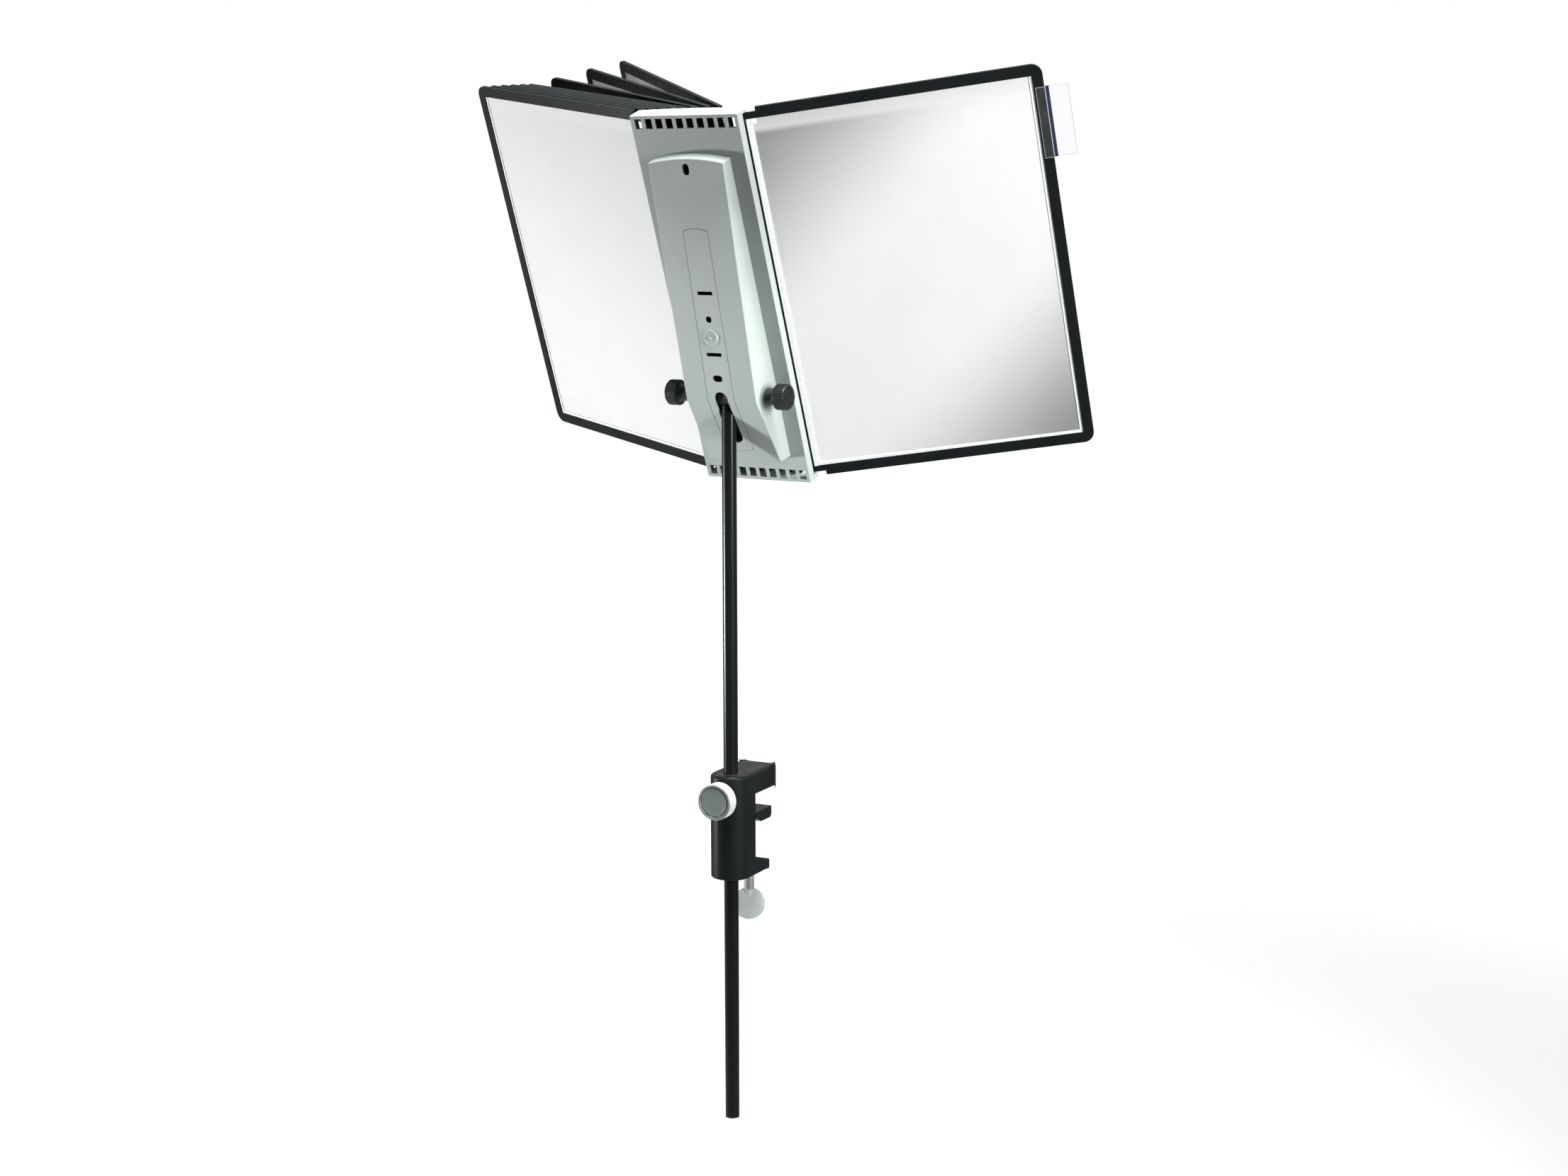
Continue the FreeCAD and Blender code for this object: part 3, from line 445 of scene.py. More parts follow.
def steelMaterial(look):
    surface = Surface("steel")
    blotch = surface.noise(look["blotchScale"], 4.0)
    fine = surface.noise(look["fineScale"], 2.0)
    return surface.set(Base_Color=surface.mix(blotch, *look["colors"]), Metallic=1.0,
                       Roughness=spread(blotch, *look["roughness"]),
                       Normal=surface.bump(fine, *look["bump"]))


platedLook = {
    "colors": ((0.42, 0.46, 0.43, 1.0), (0.56, 0.6, 0.56, 1.0)),
    "rootDark": (0.13, 0.145, 0.13, 1.0),
    "rootDarkShare": 0.75,
    "rootRadius": 4.2,
    "rootFade": 0.6,
    "blotchScale": 300.0,
    "roughness": (0.34, 0.5),
    "metallic": 0.35,
    "bump": (0.15, 0.0001),
}


def screwMaterial(look):
    # Pale plated screw, darker where it is thin: in the thread's roots and on the neck.
    surface = Surface("screw")
    blotch = surface.noise(look["blotchScale"], 4.0)
    place = surface.make("ShaderNodeSeparateXYZ", [surface.place])
    side = Wire(surface.tree, place.socket.node.outputs[1])
    radius = (place * place + side * side).math("SQRT")
    root = below(radius, look["rootRadius"], look["rootFade"])
    platedColor = surface.mix(blotch, *look["colors"])
    return surface.set(Base_Color=surface.mix(root * look["rootDarkShare"], platedColor, look["rootDark"]),
                       Roughness=spread(blotch, *look["roughness"]), Metallic=look["metallic"],
                       Normal=surface.bump(blotch, *look["bump"]))


# Painted shade on the sheets: grey towards two opposite corners, strong on the reading leaf and faint
# on the stacked ones.
sheetPaintedShade = {
    "reading": {"pale": (0.93, 0.935, 0.935, 1.0), "grey": (0.125, 0.14, 0.14, 1.0),
                "leftStart": -0.2, "leftEnd": -1.02, "leftDepth": 0.98,
                "rightStart": 0.3, "rightEnd": 1.0, "rightDepth": 0.98},
    "stacked": {"pale": (0.93, 0.938, 0.942, 1.0), "grey": (0.5, 0.52, 0.53, 1.0),
                "leftStart": 0.3, "leftEnd": -1.0, "leftDepth": 0.22,
                "rightStart": 0.55, "rightEnd": 1.1, "rightDepth": 0.1},
}

sheetLook = {
    "right": 225.2,
    "drop": 76.0,
    "height": 296.0,
    "diagonal": (0.8, 1.2, 0.2),
    "cover": (0.952, 0.972, 0.8),
    "fibreScale": 1800.0,
    "cloudScale": 9.0,
    "cloud": 0.015,
    "speckScale": 19.0,
    "specks": (0.006, 0.012, 0.6),
    "speckColor": (0.2, 0.19, 0.19, 1.0),
    "roughness": (0.6, 0.75),
    "bump": (0.1, 0.00004),
    "specular": 0.25,
}


def sheetMaterial(name, matrix, paintedShading, look):
    # A blank sheet with painted shade from pale to grey towards two opposite corners, fading where the
    # front film ends, and a few dust specks.
    surface = Surface(name)
    across = surface.along(matrix, 0) / (look["right"] * mm)
    upward = (surface.along(matrix, 2) + look["drop"] * mm) / (look["height"] * mm)
    sideways, down, offset = look["diagonal"]
    diagonal = across * sideways - upward * down + offset
    left = remap(diagonal, paintedShading["leftStart"], paintedShading["leftEnd"], 0.0, paintedShading["leftDepth"])
    right = remap(diagonal, paintedShading["rightStart"], paintedShading["rightEnd"], 0.0, paintedShading["rightDepth"])
    fibre = surface.noise(look["fibreScale"], 5.0)
    cloud = spread(surface.noise(look["cloudScale"], 2.0), -look["cloud"], look["cloud"])
    start, end, depth = look["cover"]
    covered = 1.0 - remap(upward, start, end, 0.0, depth)
    near = surface.make("ShaderNodeTexVoronoi", {"Vector": surface.place, "Scale": look["speckScale"]})
    start, end, depth = look["specks"]
    speck = 1.0 - remap(near, start, end, 0.0, depth)
    color = surface.mix((left + right) * covered + cloud, paintedShading["pale"], paintedShading["grey"])
    color = surface.mix(1.0 - speck, look["speckColor"], color)
    return surface.set(Base_Color=color, Roughness=spread(fibre, *look["roughness"]),
                       Normal=surface.bump(fibre, *look["bump"]), Specular_IOR_Level=look["specular"])


filmLook = {
    "color": (0.93, 0.94, 0.97, 1.0),
    "embossScale": 1500.0,
    "embossShare": 0.2,
    "waveScale": 16.0,
    "waveShare": 0.8,
    "alpha": (0.03, 0.05),
    "roughness": (0.12, 0.22),
    "bump": (0.06, 0.0006),
    "specular": 0.5,
}


def filmMaterial(look):
    # Clear embossed film: mostly see-through, with a fine orange-peel sheen.
    surface = Surface("film")
    emboss = surface.noise(look["embossScale"], 2.0)
    wave = surface.noise(look["waveScale"], 2.0)
    grain = surface.bump(emboss * look["embossShare"] + wave * look["waveShare"], *look["bump"])
    return surface.set(Base_Color=look["color"], Alpha=spread(wave, *look["alpha"]), Normal=grain,
                       Roughness=spread(emboss, *look["roughness"]),
                       Specular_IOR_Level=look["specular"])


weldLook = {
    "colors": ((0.66, 0.68, 0.69, 1.0), (0.78, 0.8, 0.81, 1.0)),
    "rippleScale": 520.0,
    "roughness": (0.22, 0.36),
    "bump": (0.35, 0.00012),
}


def weldMaterial(look):
    surface = Surface("weld")
    ripple = surface.noise(look["rippleScale"], 3.0)
    return surface.set(Base_Color=surface.mix(ripple, *look["colors"]),
                       Roughness=spread(ripple, *look["roughness"]),
                       Normal=surface.bump(ripple, *look["bump"]))


tabLook = {
    "grip": 226.6,
    "edge": 234.1,
    "end": 251.45,
    "bottom": 154.6,
    "top": 210.3,
    "ridge": {"before": 0.4, "width": 2.2, "fade": 0.8},
    "rim": {"width": 0.2, "fade": 0.5},
    "hazeScale": 70.0,
    "alpha": {"haze": (0.07, 0.11), "grip": 0.25, "rim": 0.35, "ridge": 0.8, "most": 0.95},
    "flagFade": 1.0,
    "roughness": 0.15,
    "specular": 0.3,
    "plain": ((0.5, 0.53, 0.54, 1.0), (0.6, 0.62, 0.64, 1.0)),
    "rimColor": (0.33, 0.35, 0.38, 1.0),
    "ridgeColor": (0.012, 0.02, 0.06, 1.0),
}


def tabMaterial(matrix, look):
    # Clear moulding: its thin edges catch the light, and the ridge along the leaf has a blue cast.
    surface = Surface("tabClear")
    across = surface.along(matrix, 0)
    height = surface.along(matrix, 2)
    edge = look["edge"]
    ridge = above(across, edge - look["ridge"]["before"], look["ridge"]["before"])
    ridge = ridge * below(across, edge + look["ridge"]["width"], look["ridge"]["fade"])
    inward = (look["end"] * mm - across, look["top"] * mm - height, height - look["bottom"] * mm,
              across - look["grip"] * mm)
    rims = [below(distance, look["rim"]["width"], look["rim"]["fade"]) for distance in inward]
    rim = rims[0]
    for other in rims[1:]:
        rim = rim.math("MAXIMUM", other)
    haze = surface.noise(look["hazeScale"], 3.0)
    color = surface.mix(rim, surface.mix(spread(haze, 0.0, 1.0), *look["plain"]), look["rimColor"])
    color = surface.mix(ridge, color, look["ridgeColor"])
    share = look["alpha"]
    flag = remap(across, edge * mm, (edge + look["flagFade"]) * mm, share["grip"], 1.0)
    alpha = spread(haze, *share["haze"]) * flag + rim * share["rim"] + ridge * share["ridge"]
    alpha = alpha.math("MINIMUM", share["most"])
    return surface.set(Base_Color=color, Alpha=alpha, Roughness=look["roughness"],
                       Specular_IOR_Level=look["specular"])


floorLook = {
    "reach": 7.0,
    "height": -0.52,
    "colors": ((0.72, 0.72, 0.72, 1.0), (0.76, 0.76, 0.76, 1.0)),
    "cloudScale": 1.5,
    "whitening": (0.7, 2.5, 0.6, 1.0),
    "roughness": 0.8,
}


def floorMaterial(look):
    # Pale floor that turns white for the camera away from the object, and keeps its shadow near it.
    surface = Surface("paleFloor")
    cloud = surface.noise(look["cloudScale"], 2.0)
    reach = surface.make("ShaderNodeVectorMath", [surface.place], output=1, operation="LENGTH")
    seen = remap(reach, *look["whitening"]) * lightPath(surface.tree, "Is Camera Ray")
    light = surface.mix(seen, (0.0, 0.0, 0.0, 1.0), (1.0, 1.0, 1.0, 1.0))
    return surface.set(Base_Color=surface.mix(cloud, *look["colors"]), Roughness=look["roughness"],
                       Emission_Color=light, Emission_Strength=1.0)


materials = {name: moulded(name, look).material for name, look in looks.items() if name != "shell"}
materials.update({
    "shell": shellMaterial(looks["shell"], shellMarks),
    "tube": tubeMaterial(tubeLook),
    "steel": steelMaterial(steelLook),
    "screw": screwMaterial(platedLook),
    "film": filmMaterial(filmLook),
    "weld": weldMaterial(weldLook),
    "tabClear": tabMaterial(leafFrame(10), tabLook),
})
print("materials made:", len(materials))


def makeFloor(look):
    mesh = bpy.data.meshes.new("floor")
    reach = look["reach"]
    corners = [(x, y, look["height"]) for x, y in ((-reach, -reach), (reach, -reach), (reach, reach),
                                                   (-reach, reach))]
    mesh.from_pydata(corners, [], [(0, 1, 2, 3)])
    mesh.materials.append(floorMaterial(look))
    floor = bpy.data.objects.new("floor", mesh)
    sceneRoot.objects.link(floor)


makeFloor(floorLook)


# Pieces.


def placePiece(name, mesh, body, replaced=(), paint=None):
    piece = bpy.data.objects.new(name, mesh)
    sceneRoot.objects.link(piece)
    if paint:
        mesh.materials.clear()
        mesh.materials.append(materials[paint])
    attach(piece, body)
    if replaced:
        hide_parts(*replaced)
    return piece


# Merging distances in metres, angles in degrees.

roundingLook = {"merge": 1e-6, "flat": 0.4, "sharp": 32}
latheLook = {"merge": 1e-7, "tiny": 1e-8, "sharp": 38, "steps": 4}


def softened(node, body, paint, look):
    # A copy of a solid with its hard edges rounded and its shading smoothed.
    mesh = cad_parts[node].data.copy()
    mesh.name = "soft_" + node
    work = bmesh.new()
    work.from_mesh(mesh)
    bmesh.ops.remove_doubles(work, verts=work.verts, dist=roundingLook["merge"])
    bmesh.ops.join_triangles(work, faces=work.faces,
                             angle_face_threshold=math.radians(roundingLook["flat"]),
                             angle_shape_threshold=math.radians(180))
    sharp = math.radians(roundingLook["sharp"])
    if "share" in look:
        layer = work.edges.layers.float.new("bevel_weight_edge")
        for edge in work.edges:
            if len(edge.link_faces) == 2 and edge.calc_face_angle() > sharp:
                middle = (edge.verts[0].co + edge.verts[1].co) / 2 / mm
                edge[layer] = look["share"](middle)
    work.to_mesh(mesh)
    work.free()
    holder = bpy.data.objects.new("soften", mesh)
    sceneRoot.objects.link(holder)
    bevel = holder.modifiers.new("rounding", "BEVEL")
    bevel.width = look["round"] * mm
    bevel.segments = look["segments"]
    bevel.limit_method = "WEIGHT" if "share" in look else "ANGLE"
    bevel.angle_limit = sharp
    bevel.use_clamp_overlap = "share" not in look
    bevel.miter_outer = "MITER_ARC"
    mesh.shade_smooth()
    weighted = holder.modifiers.new("evenShading", "WEIGHTED_NORMAL")
    weighted.keep_sharp = False
    return placePiece("soft_" + node, bakedMesh(holder), body, (node,), paint)


def bakedMesh(holder):
    graph = bpy.context.evaluated_depsgraph_get()
    graph.update()
    result = bpy.data.meshes.new_from_object(holder.evaluated_get(graph), preserve_all_data_layers=True,
                                             depsgraph=graph)
    bpy.data.objects.remove(holder)
    return result


def roundedLine(points):
    # Points are (radius, height) or (radius, height, rounding), in mm.
    steps = latheLook["steps"]
    line = []
    last = len(points) - 1
    for index, point in enumerate(points):
        here = Vector(point[:2])
        rounding = point[2] if len(point) == 3 else 0
        if not rounding or index in (0, last):
            line.append(here)
            continue
        before = Vector(points[index - 1][:2]) - here
        after = Vector(points[index + 1][:2]) - here
        reach = min(rounding, before.length / 2, after.length / 2)
        start = here + before.normalized() * reach
        end = here + after.normalized() * reach
        for step in range(steps + 1):
            share = step / steps
            line.append(start * (1 - share) ** 2 + here * 2 * share * (1 - share) + end * share ** 2)
    return line


def ringOf(work, segments, height, radiusAt):
    ring = []
    for index in range(segments):
        angle = 2 * math.pi * index / segments
        radius = radiusAt(angle)
        ring.append(work.verts.new((radius * math.cos(angle) * mm, radius * math.sin(angle) * mm,
                                    height * mm)))
    return ring


def joinRings(work, rings):
    for low, high in zip(rings, rings[1:]):
        for index in range(len(low)):
            following = (index + 1) % len(low)
            work.faces.new((low[index], low[following], high[following], high[index]))


def meshOf(work, name):
    mesh = bpy.data.meshes.new(name)
    work.to_mesh(mesh)
    work.free()
    return mesh


def smoothed(mesh, degrees):
    mesh.shade_smooth()
    mesh.set_sharp_from_angle(angle=math.radians(degrees))
    return mesh


def lathe(name, points, segments, matrix=None):
    work = bmesh.new()
    rings = [ringOf(work, segments, point.y, lambda angle: point.x) for point in roundedLine(points)]
    joinRings(work, rings)
    bmesh.ops.remove_doubles(work, verts=work.verts, dist=latheLook["merge"])
    bmesh.ops.dissolve_degenerate(work, edges=work.edges, dist=latheLook["tiny"])
    bmesh.ops.recalc_face_normals(work, faces=work.faces)
    mesh = smoothed(meshOf(work, name), latheLook["sharp"])
    if matrix:
        mesh.transform(matrix)
    return mesh


def ribGroup():
    # Round ribs set on a circle about Z, joined to the turned body they grip.
    group = bpy.data.node_groups.new("ribsAroundAxis", "GeometryNodeTree")
    face = group.interface
    face.new_socket(name="Geometry", in_out="INPUT", socket_type="NodeSocketGeometry")
    face.new_socket(name="Count", in_out="INPUT", socket_type="NodeSocketInt")
    for label in ("Radius", "Rib Radius", "Start", "Length"):
        face.new_socket(name=label, in_out="INPUT", socket_type="NodeSocketFloat")
    face.new_socket(name="Finish", in_out="INPUT", socket_type="NodeSocketMaterial")
    face.new_socket(name="Geometry", in_out="OUTPUT", socket_type="NodeSocketGeometry")
    entry = group.nodes.new("NodeGroupInput")
    leave = group.nodes.new("NodeGroupOutput")

    def given(label):
        return Wire(group, entry.outputs[label])

    circle = makeNode(group, "GeometryNodeMeshCircle",
                      {"Vertices": given("Count"), "Radius": given("Radius")})
    rib = makeNode(group, "GeometryNodeMeshCylinder",
                   {"Vertices": 8, "Radius": given("Rib Radius"), "Depth": given("Length")})
    lift = makeNode(group, "ShaderNodeCombineXYZ",
                    {"Z": given("Start") + given("Length") * 0.5})
    points = makeNode(group, "GeometryNodeTransform", {"Geometry": circle, "Translation": lift})
    ribs = makeNode(group, "GeometryNodeInstanceOnPoints", {"Points": points, "Instance": rib})
    whole = makeNode(group, "GeometryNodeJoinGeometry", [ribs])
    group.links.new(entry.outputs["Geometry"], whole.socket.node.inputs[0])
    solid = makeNode(group, "GeometryNodeRealizeInstances", [whole])
    done = makeNode(group, "GeometryNodeSetMaterial", {"Geometry": solid, "Material": given("Finish")})
    group.links.new(done.socket, leave.inputs[0])
    return group


ribs = ribGroup()


def ribbed(mesh, look, paint, matrix):
    holder = bpy.data.objects.new("ribbedBody", mesh)
    sceneRoot.objects.link(holder)
    modifier = holder.modifiers.new("ribs", "NODES")
    modifier.node_group = ribs
    values = {"Count": look["count"], "Radius": look["radius"] * mm, "Rib Radius": look["rib"] * mm,
              "Start": look["start"] * mm, "Length": look["length"] * mm, "Finish": materials[paint]}
    for item in ribs.interface.items_tree:
        if item.in_out == "INPUT" and item.name in values:
            modifier[item.identifier] = values[item.name]
    baked = bakedMesh(holder)
    baked.transform(matrix)
    return baked


# The clamp, its screw and its jaw.

clampEdges = {
    "tubeBore": 10.5,
    "screwBore": 5.5,
    "lockBore": 6,
    "topAbove": 18,
    "footBelow": -68,
    "shares": {"bore": 0.1, "top": 1.0, "foot": 0.5, "side": 0.4},
}


def clampEdgeShare(middle):
    # Full rounding on the top outline, less below, and hardly any on holes.
    shares = clampEdges["shares"]
    fromTube = math.hypot(middle.x, middle.y + sizes["tubeOffset"])
    fromScrew = math.hypot(middle.x, middle.y)
    fromLock = math.hypot(middle.x, middle.z)
    if fromTube < clampEdges["tubeBore"] or fromScrew < clampEdges["screwBore"]:
        return shares["bore"]
    if fromLock < clampEdges["lockBore"]:
        return shares["bore"]
    if middle.z > clampEdges["topAbove"]:
        return shares["top"]
    return shares["foot"] if middle.z < clampEdges["footBelow"] else shares["side"]


clampLook = {"round": 2.8, "segments": 6, "share": clampEdgeShare}
jawLook = {"round": 0.6, "segments": 3}
bushLook = {"round": 0.35, "segments": 3}

softened("clamp_body", "clamp", "clamp", clampLook)
softened("pressure_jaw", "pressure_jaw", "clamp", jawLook)
softened("pole_bush", "bush", "plug", bushLook)
softened("spindle_clip", "pressure_jaw", "steel", {"round": 0.15, "segments": 2})
softened("lock_shoe", "lock_shoe", "plug", {"round": 0.25, "segments": 2})

screwLook = {
    "pitch": 2.0,
    "depth": 0.75,
    "outer": 5.0,
    "top": -18.6,
    "end": -75.2,
    "neck": 4.3,
    "neckEnd": -87.5,
    "around": 40,
    "perTurn": 12,
    "slope": 1.6,
    "cut": 0.2,
    "fade": 1.0,
    "slack": 0.02,
    "step": 0.01,
    "sharp": 50,
}


def screwRadius(look, height, angle):
    # A plain neck, then a crest that follows the helix and fades out at the top.
    if height < look["end"]:
        return look["neck"]
    phase = (height / look["pitch"] - angle / (2 * math.pi)) % 1.0
    crest = min(1.0, max(0.0, look["slope"] * (1 - abs(2 * phase - 1)) - look["cut"]))
    fade = min(1.0, (look["top"] - height) / look["fade"])
    return look["outer"] - look["depth"] * (1 - crest * fade) - look["slack"]


def threadedScrew(look):
    # One sheet of rings, closed by a flat face at each end.
    work = bmesh.new()
    length = look["top"] - look["end"]
    count = int(length / look["pitch"] * look["perTurn"])
    heights = [look["neckEnd"], look["end"] - look["step"]]
    heights += [look["end"] + length * index / count for index in range(count + 1)]
    rings = [ringOf(work, look["around"], height, lambda angle: screwRadius(look, height, angle))
             for height in heights]
    joinRings(work, rings)
    work.faces.new(rings[-1])
    work.faces.new(rings[0][::-1])
    mesh = smoothed(meshOf(work, "clampScrew"), look["sharp"])
    return placePiece("clampScrew", mesh, "clamp_screw", ("clamp_spindle",), "screw")


threadedScrew(screwLook)

discLook = {
    "centre": -99.9,
    "turn": 24.0,
    "plateSegments": 72,
    "rootSegments": 32,
    "plate": [(0.0, -1.7), (13.5, -1.7, 0.5), (13.5, 1.7, 0.5), (0.0, 1.7)],
    "root": [(0.0, -98.0), (1.7, -93.8), (4.3, -87.2, 0.8), (4.3, -86.0), (0.0, -86.0)],
}


def merged(name, meshes):
    work = bmesh.new()
    for mesh in meshes:
        work.from_mesh(mesh)
    return meshOf(work, name)


def thumbDisc(look):
    # A flat disc on edge under the screw, whose shank tapers into both faces.
    centre = Matrix.Translation((0, 0, look["centre"] * mm))
    upright = centre @ turned(look["turn"], "Z") @ turned(90, "X")
    plate = lathe("discPlate", look["plate"], look["plateSegments"], upright)
    root = lathe("discRoot", look["root"], look["rootSegments"])
    placePiece("thumbDisc", merged("thumbDisc", [plate, root]), "clamp_screw",
               ("thumb_disc",), "discGrey")


thumbDisc(discLook)
print("clamp made")


# The tube and its end.

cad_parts["pole_tube"].data.materials.clear()
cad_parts["pole_tube"].data.materials.append(materials["tube"])
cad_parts["pole_tube"].data.shade_smooth()
softened("pole_end_cap", "pole", "plug", {"round": 0.4, "segments": 3})


# The lock knob: a ribbed band, a front ring, a groove and a recessed disc; the front ring and the disc
# take a darker copy of the knob's grey as painted shade.

lockLook = {
    "segments": 96,
    "profile": [(4.0, 17.8), (13.6, 17.8, 0.5), (14.7, 18.7, 0.4), (14.7, 28.9, 0.4),
                (14.1, 30.0, 0.5), (13.0, 30.0, 0.3), (13.0, 27.95), (0.0, 27.95)],
    "cap": [(12.0, 28.0), (12.0, 29.2, 0.5), (11.0, 29.5, 0.5), (10.2, 29.28, 0.6), (0.0, 29.2)],
    "rim": [(14.5, 29.3), (14.4, 29.7, 0.2), (14.05, 30.07, 0.3), (12.98, 30.07, 0.2),
            (12.9, 29.4)],
    "ribs": {"count": 112, "radius": 14.68, "rib": 0.3, "start": 18.9, "length": 10.5},
}
lockBody = lathe("lockKnobBody", lockLook["profile"], lockLook["segments"])
lockCap = lathe("lockKnobCap", lockLook["cap"], lockLook["segments"], lockFrame)
lockRim = lathe("lockKnobRim", lockLook["rim"], lockLook["segments"], lockFrame)
placePiece("lockKnob", ribbed(lockBody, lockLook["ribs"], "knobGrey", lockFrame), "lock_knob",
           ("lock_knob",))
placePiece("lockKnobCap", lockCap, "lock_knob", ("lock_knob_cap",), "knobShadeGrey")
# A ring over the knob's front face in the darker grey: painted shade.
placePiece("lockKnobRim", lockRim, "lock_knob", (), "knobShadeGrey")


# The tilt knobs: a hub, and a ribbed head with slanting ridges on its end.

tiltLook = {
    "segments": 84,
    "profile": [(3.0, 36.5), (6.3, 36.5, 0.4), (6.75, 37.0, 0.4), (6.75, 44.6, 0.5), (7.6, 46.0, 0.5),
                (9.3, 46.0, 0.6), (9.85, 46.7, 0.4), (9.85, 55.5, 0.5), (9.4, 56.2, 0.3),
                (8.9, 56.2, 0.2), (8.8, 55.8), (0.0, 55.8)],
    "ribs": {"count": 34, "radius": 9.85, "rib": 0.6, "start": 46.5, "length": 9.0},
    "ridges": {"count": 6, "pitch": 2.7, "width": 1.5, "crest": 0.6, "bottom": 55.7, "top": 56.5,
               "reach": 9.0},
    "turns": {"right": 35, "left": -35},
}


def addRidges(mesh, look):
    work = bmesh.new()
    work.from_mesh(mesh)
    for index in range(look["count"]):
        offset = (index - (look["count"] - 1) / 2) * look["pitch"]
        half = math.sqrt(look["reach"] ** 2 - offset ** 2)
        wide = look["width"] / 2
        crest = wide * look["crest"]
        section = [(-wide, look["bottom"]), (-crest, look["top"]), (crest, look["top"]),
                   (wide, look["bottom"])]
        ends = []
        for x in (-half, half):
            ends.append([work.verts.new((x * mm, (offset + y) * mm, z * mm)) for y, z in section])
        for step in range(3):
            work.faces.new((ends[0][step], ends[1][step], ends[1][step + 1], ends[0][step + 1]))
        work.faces.new(ends[0])
        work.faces.new(ends[1][::-1])
    bmesh.ops.recalc_face_normals(work, faces=work.faces)
    work.to_mesh(mesh)
    work.free()


for side, knobFrame in knobFrames.items():
    knobBody = lathe("tiltKnobBody", tiltLook["profile"], tiltLook["segments"])
    addRidges(knobBody, tiltLook["ridges"])
    turn = turned(tiltLook["turns"][side], "Z")
    placePiece("tiltKnob_" + side, ribbed(knobBody, tiltLook["ribs"], "knobBlack", knobFrame @ turn),
               "tilt_knob_" + side, ("tilt_knob_" + side,))

for node, body in (("tilt_stud_left", "tilt_knob_left"), ("tilt_stud_right", "tilt_knob_right"),
                   ("lock_screw", "lock_knob")):
    softened(node, body, "steel", {"round": 0.3, "segments": 2})
# The steel tee takes the black plug finish instead, so where it shows in the tube's slot it reads as
# the slot's dark inside: painted shade.
softened("tilt_tee", "pole", "plug", {"round": 0.3, "segments": 2})
print("tube and knobs made")


# The head: rail, bracket cover and its insert.

softened("panel_rail", "head", "shell", {"round": 0.35, "segments": 2})

coverEdges = {
    "insert": {"half": 14, "bottom": -52, "top": 142, "depth": 8, "share": 0.33},
    "keyhole": {"half": 3.3, "bottom": 180, "top": 196.5, "share": 0.3},
    "rail": {"depth": 12, "share": 0.3},
    "outline": 1.0,
}


def coverEdgeShare(middle):
    # Crisp edges round the insert, the keyhole and at the rail, full rounding elsewhere.
    place = headFrame.inverted() @ (middle * mm) / mm
    insert = coverEdges["insert"]
    keyhole = coverEdges["keyhole"]
    rail = coverEdges["rail"]
    if (abs(place.x) < insert["half"] and insert["bottom"] < place.z < insert["top"]
            and place.y < insert["depth"]):
        return insert["share"]
    if abs(place.x) < keyhole["half"] and keyhole["bottom"] < place.z < keyhole["top"]:
        return keyhole["share"]
    return coverEdges["outline"] if place.y < rail["depth"] else rail["share"]


softened("bracket_cover", "head", "shell",
         {"round": 0.9, "segments": 4, "share": coverEdgeShare})
softened("bracket_insert", "head", "shell", {"round": 0.3, "segments": 2})

dishLook = {
    "height": 52.6,
    "segments": 64,
    "profile": [(6.9, -0.3), (6.8, 0.85, 0.2), (6.4, 1.0, 0.2), (5.0, 0.12, 0.8), (2.0, 0.04, 0.8),
                (1.5, 0.5, 0.3), (1.0, 1.1, 0.4), (0.0, 1.2)],
}
dishDepth = -sizes["coverBend"] + sizes["coverUpperSlope"] * dishLook["height"]
dishPlace = headFrame @ Matrix.Translation((0, dishDepth * mm, dishLook["height"] * mm))
dishSlope = Matrix.Rotation(math.radians(90) - math.atan(sizes["coverUpperSlope"]), 4, "X")
dish = lathe("insertDish", dishLook["profile"], dishLook["segments"], dishPlace @ dishSlope)
placePiece("insertDish", dish, "head", (), "shell")
print("head made")


# The leaves: moulded frame, clear pocket with a welded border, and a sheet.

leafLook = {"round": 0.75, "segments": 3}
pocketLook = {
    "left": 8.1,
    "right": 225.2,
    "bottom": -75.6,
    "top": 219.6,
    "weld": 2.4,
    "weldProud": 0.12,
    "innerShare": 0.6,
    "drop": 9.5,
    "notch": 9.0,
    "notchCentre": 111.0,
    "notchLift": 2.0,
    "notchSteps": 24,
    "film": 0.35,
    "gap": 0.15,
    "lapStart": 5.1,
    "lapOver": 0.4,
    "lapOut": 1.52,
    "lapThickness": 0.1,
    "liner": (9.8, -71.7, 13.3, 215.0),
    "linerHalf": 0.04,
}


def boxOf(work, low, high, index):
    corners = [(x, y, z) for x in (low[0], high[0]) for y in (low[1], high[1])
               for z in (low[2], high[2])]
    verts = [work.verts.new([part * mm for part in corner]) for corner in corners]
    for face in ((0, 1, 3, 2), (4, 6, 7, 5), (0, 4, 5, 1), (2, 3, 7, 6), (0, 2, 6, 4), (1, 5, 7, 3)):
        made = work.faces.new([verts[corner] for corner in face])
        made.material_index = index


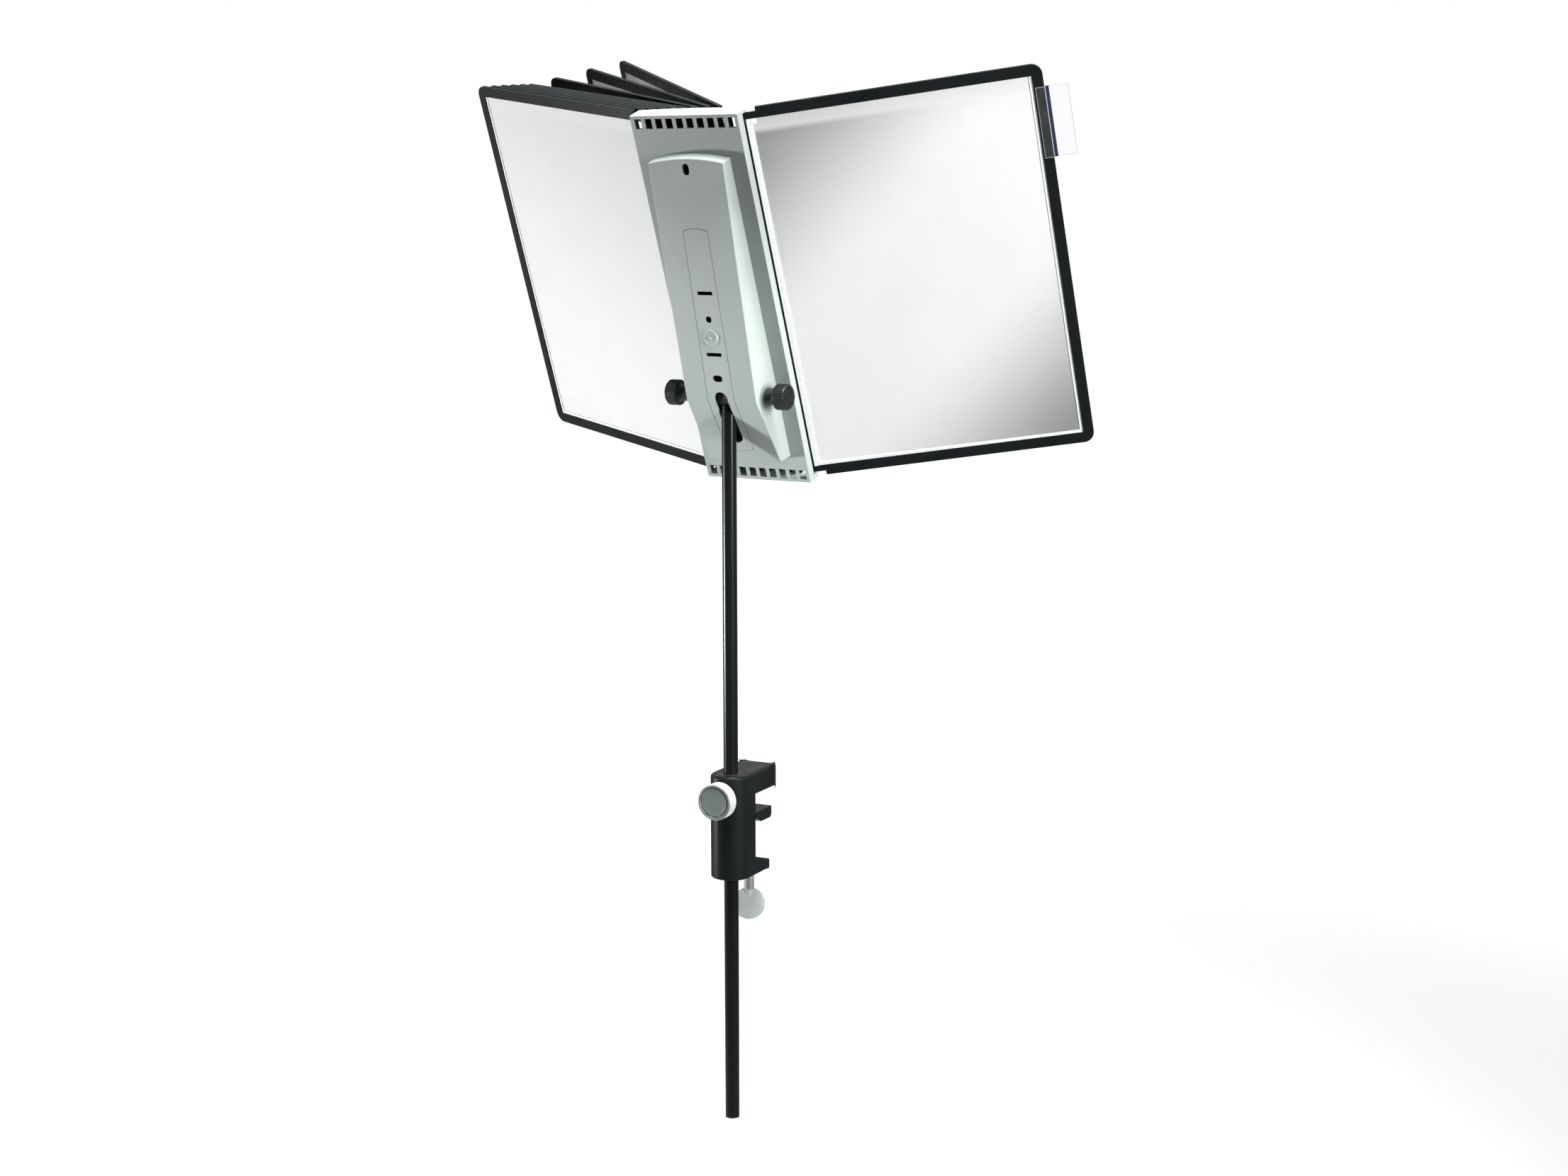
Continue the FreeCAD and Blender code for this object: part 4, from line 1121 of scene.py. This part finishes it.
def frontFilm(work, look):
    # The film that faces the reader ends short of the top, with a thumb notch.
    edge = look["top"] - look["drop"]
    steps = look["notchSteps"]
    start = math.asin(look["notchLift"] / look["notch"])
    outline = [(look["left"], look["bottom"]), (look["right"], look["bottom"]), (look["right"], edge)]
    for step in range(steps + 1):
        angle = start - step * (math.pi + 2 * start) / steps
        outline.append((look["notchCentre"] + look["notch"] * math.cos(angle),
                        edge + look["notchLift"] + look["notch"] * math.sin(angle)))
    outline = [(x, min(z, edge)) for x, z in outline]
    outline.append((look["left"], edge))
    layers = []
    for depth in (-look["gap"] - look["film"], -look["gap"]):
        layers.append([work.verts.new((x * mm, depth * mm, z * mm)) for x, z in outline])
    work.faces.new(layers[0])
    work.faces.new(layers[1][::-1])
    for index in range(len(outline)):
        following = (index + 1) % len(outline)
        work.faces.new((layers[0][index], layers[1][index], layers[1][following],
                        layers[0][following]))


def pocketMesh(look):
    # Faces take the film, the weld or the leaf's own sheet as their material.
    film, weld, sheet = range(3)
    work = bmesh.new()
    outer = look["gap"] + look["film"]
    boxOf(work, (look["left"], look["gap"], look["bottom"]), (look["right"], outer, look["top"]),
          film)
    frontFilm(work, look)
    proud = outer + look["weldProud"]
    inner = look["left"] + look["weld"] * look["innerShare"]
    lapEnd = look["left"] + look["lapOver"]
    for side in (-1, 1):
        faces = sorted((side * look["lapOut"], side * (look["lapOut"] - look["lapThickness"])))
        boxOf(work, (look["lapStart"], faces[0], look["bottom"]), (lapEnd, faces[1], look["top"]), weld)
    bars = (
        ((look["left"], look["bottom"]), (inner, look["top"])),
        ((look["right"] - look["weld"], look["bottom"]), (look["right"], look["top"])),
        ((inner, look["bottom"]), (look["right"] - look["weld"], look["bottom"] + look["weld"])),
    )
    for low, high in bars:
        boxOf(work, (low[0], -proud, low[1]), (high[0], proud, high[1]), weld)
    left, bottom, right, top = look["liner"]
    boxOf(work, (left, -look["linerHalf"], bottom), (right, look["linerHalf"], top), sheet)
    bmesh.ops.recalc_face_normals(work, faces=work.faces)
    mesh = meshOf(work, "pocket")
    mesh.materials.append(materials["film"])
    mesh.materials.append(materials["weld"])
    return mesh


pocketTemplate = pocketMesh(pocketLook)
for leaf in range(1, 11):
    body = f"leaf_{leaf}"
    matrix = leafFrame(leaf)
    softened(f"leaf_frame_{leaf}", body, "frameBlack", leafLook)
    paintedShading = sheetPaintedShade["reading" if leaf == 10 else "stacked"]
    paper = sheetMaterial(f"sheet_{leaf}", matrix, paintedShading, sheetLook)
    pocket = pocketTemplate.copy()
    pocket.transform(matrix)
    pocket.materials.append(paper)
    placePiece(f"pocket_{leaf}", pocket, body, (f"leaf_pocket_{leaf}",))
    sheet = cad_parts[f"leaf_sheet_{leaf}"].data
    sheet.materials.clear()
    sheet.materials.append(paper)

softened("index_tab", "index_tab", "tabClear", {"round": 0.12, "segments": 2})
print("leaves made")
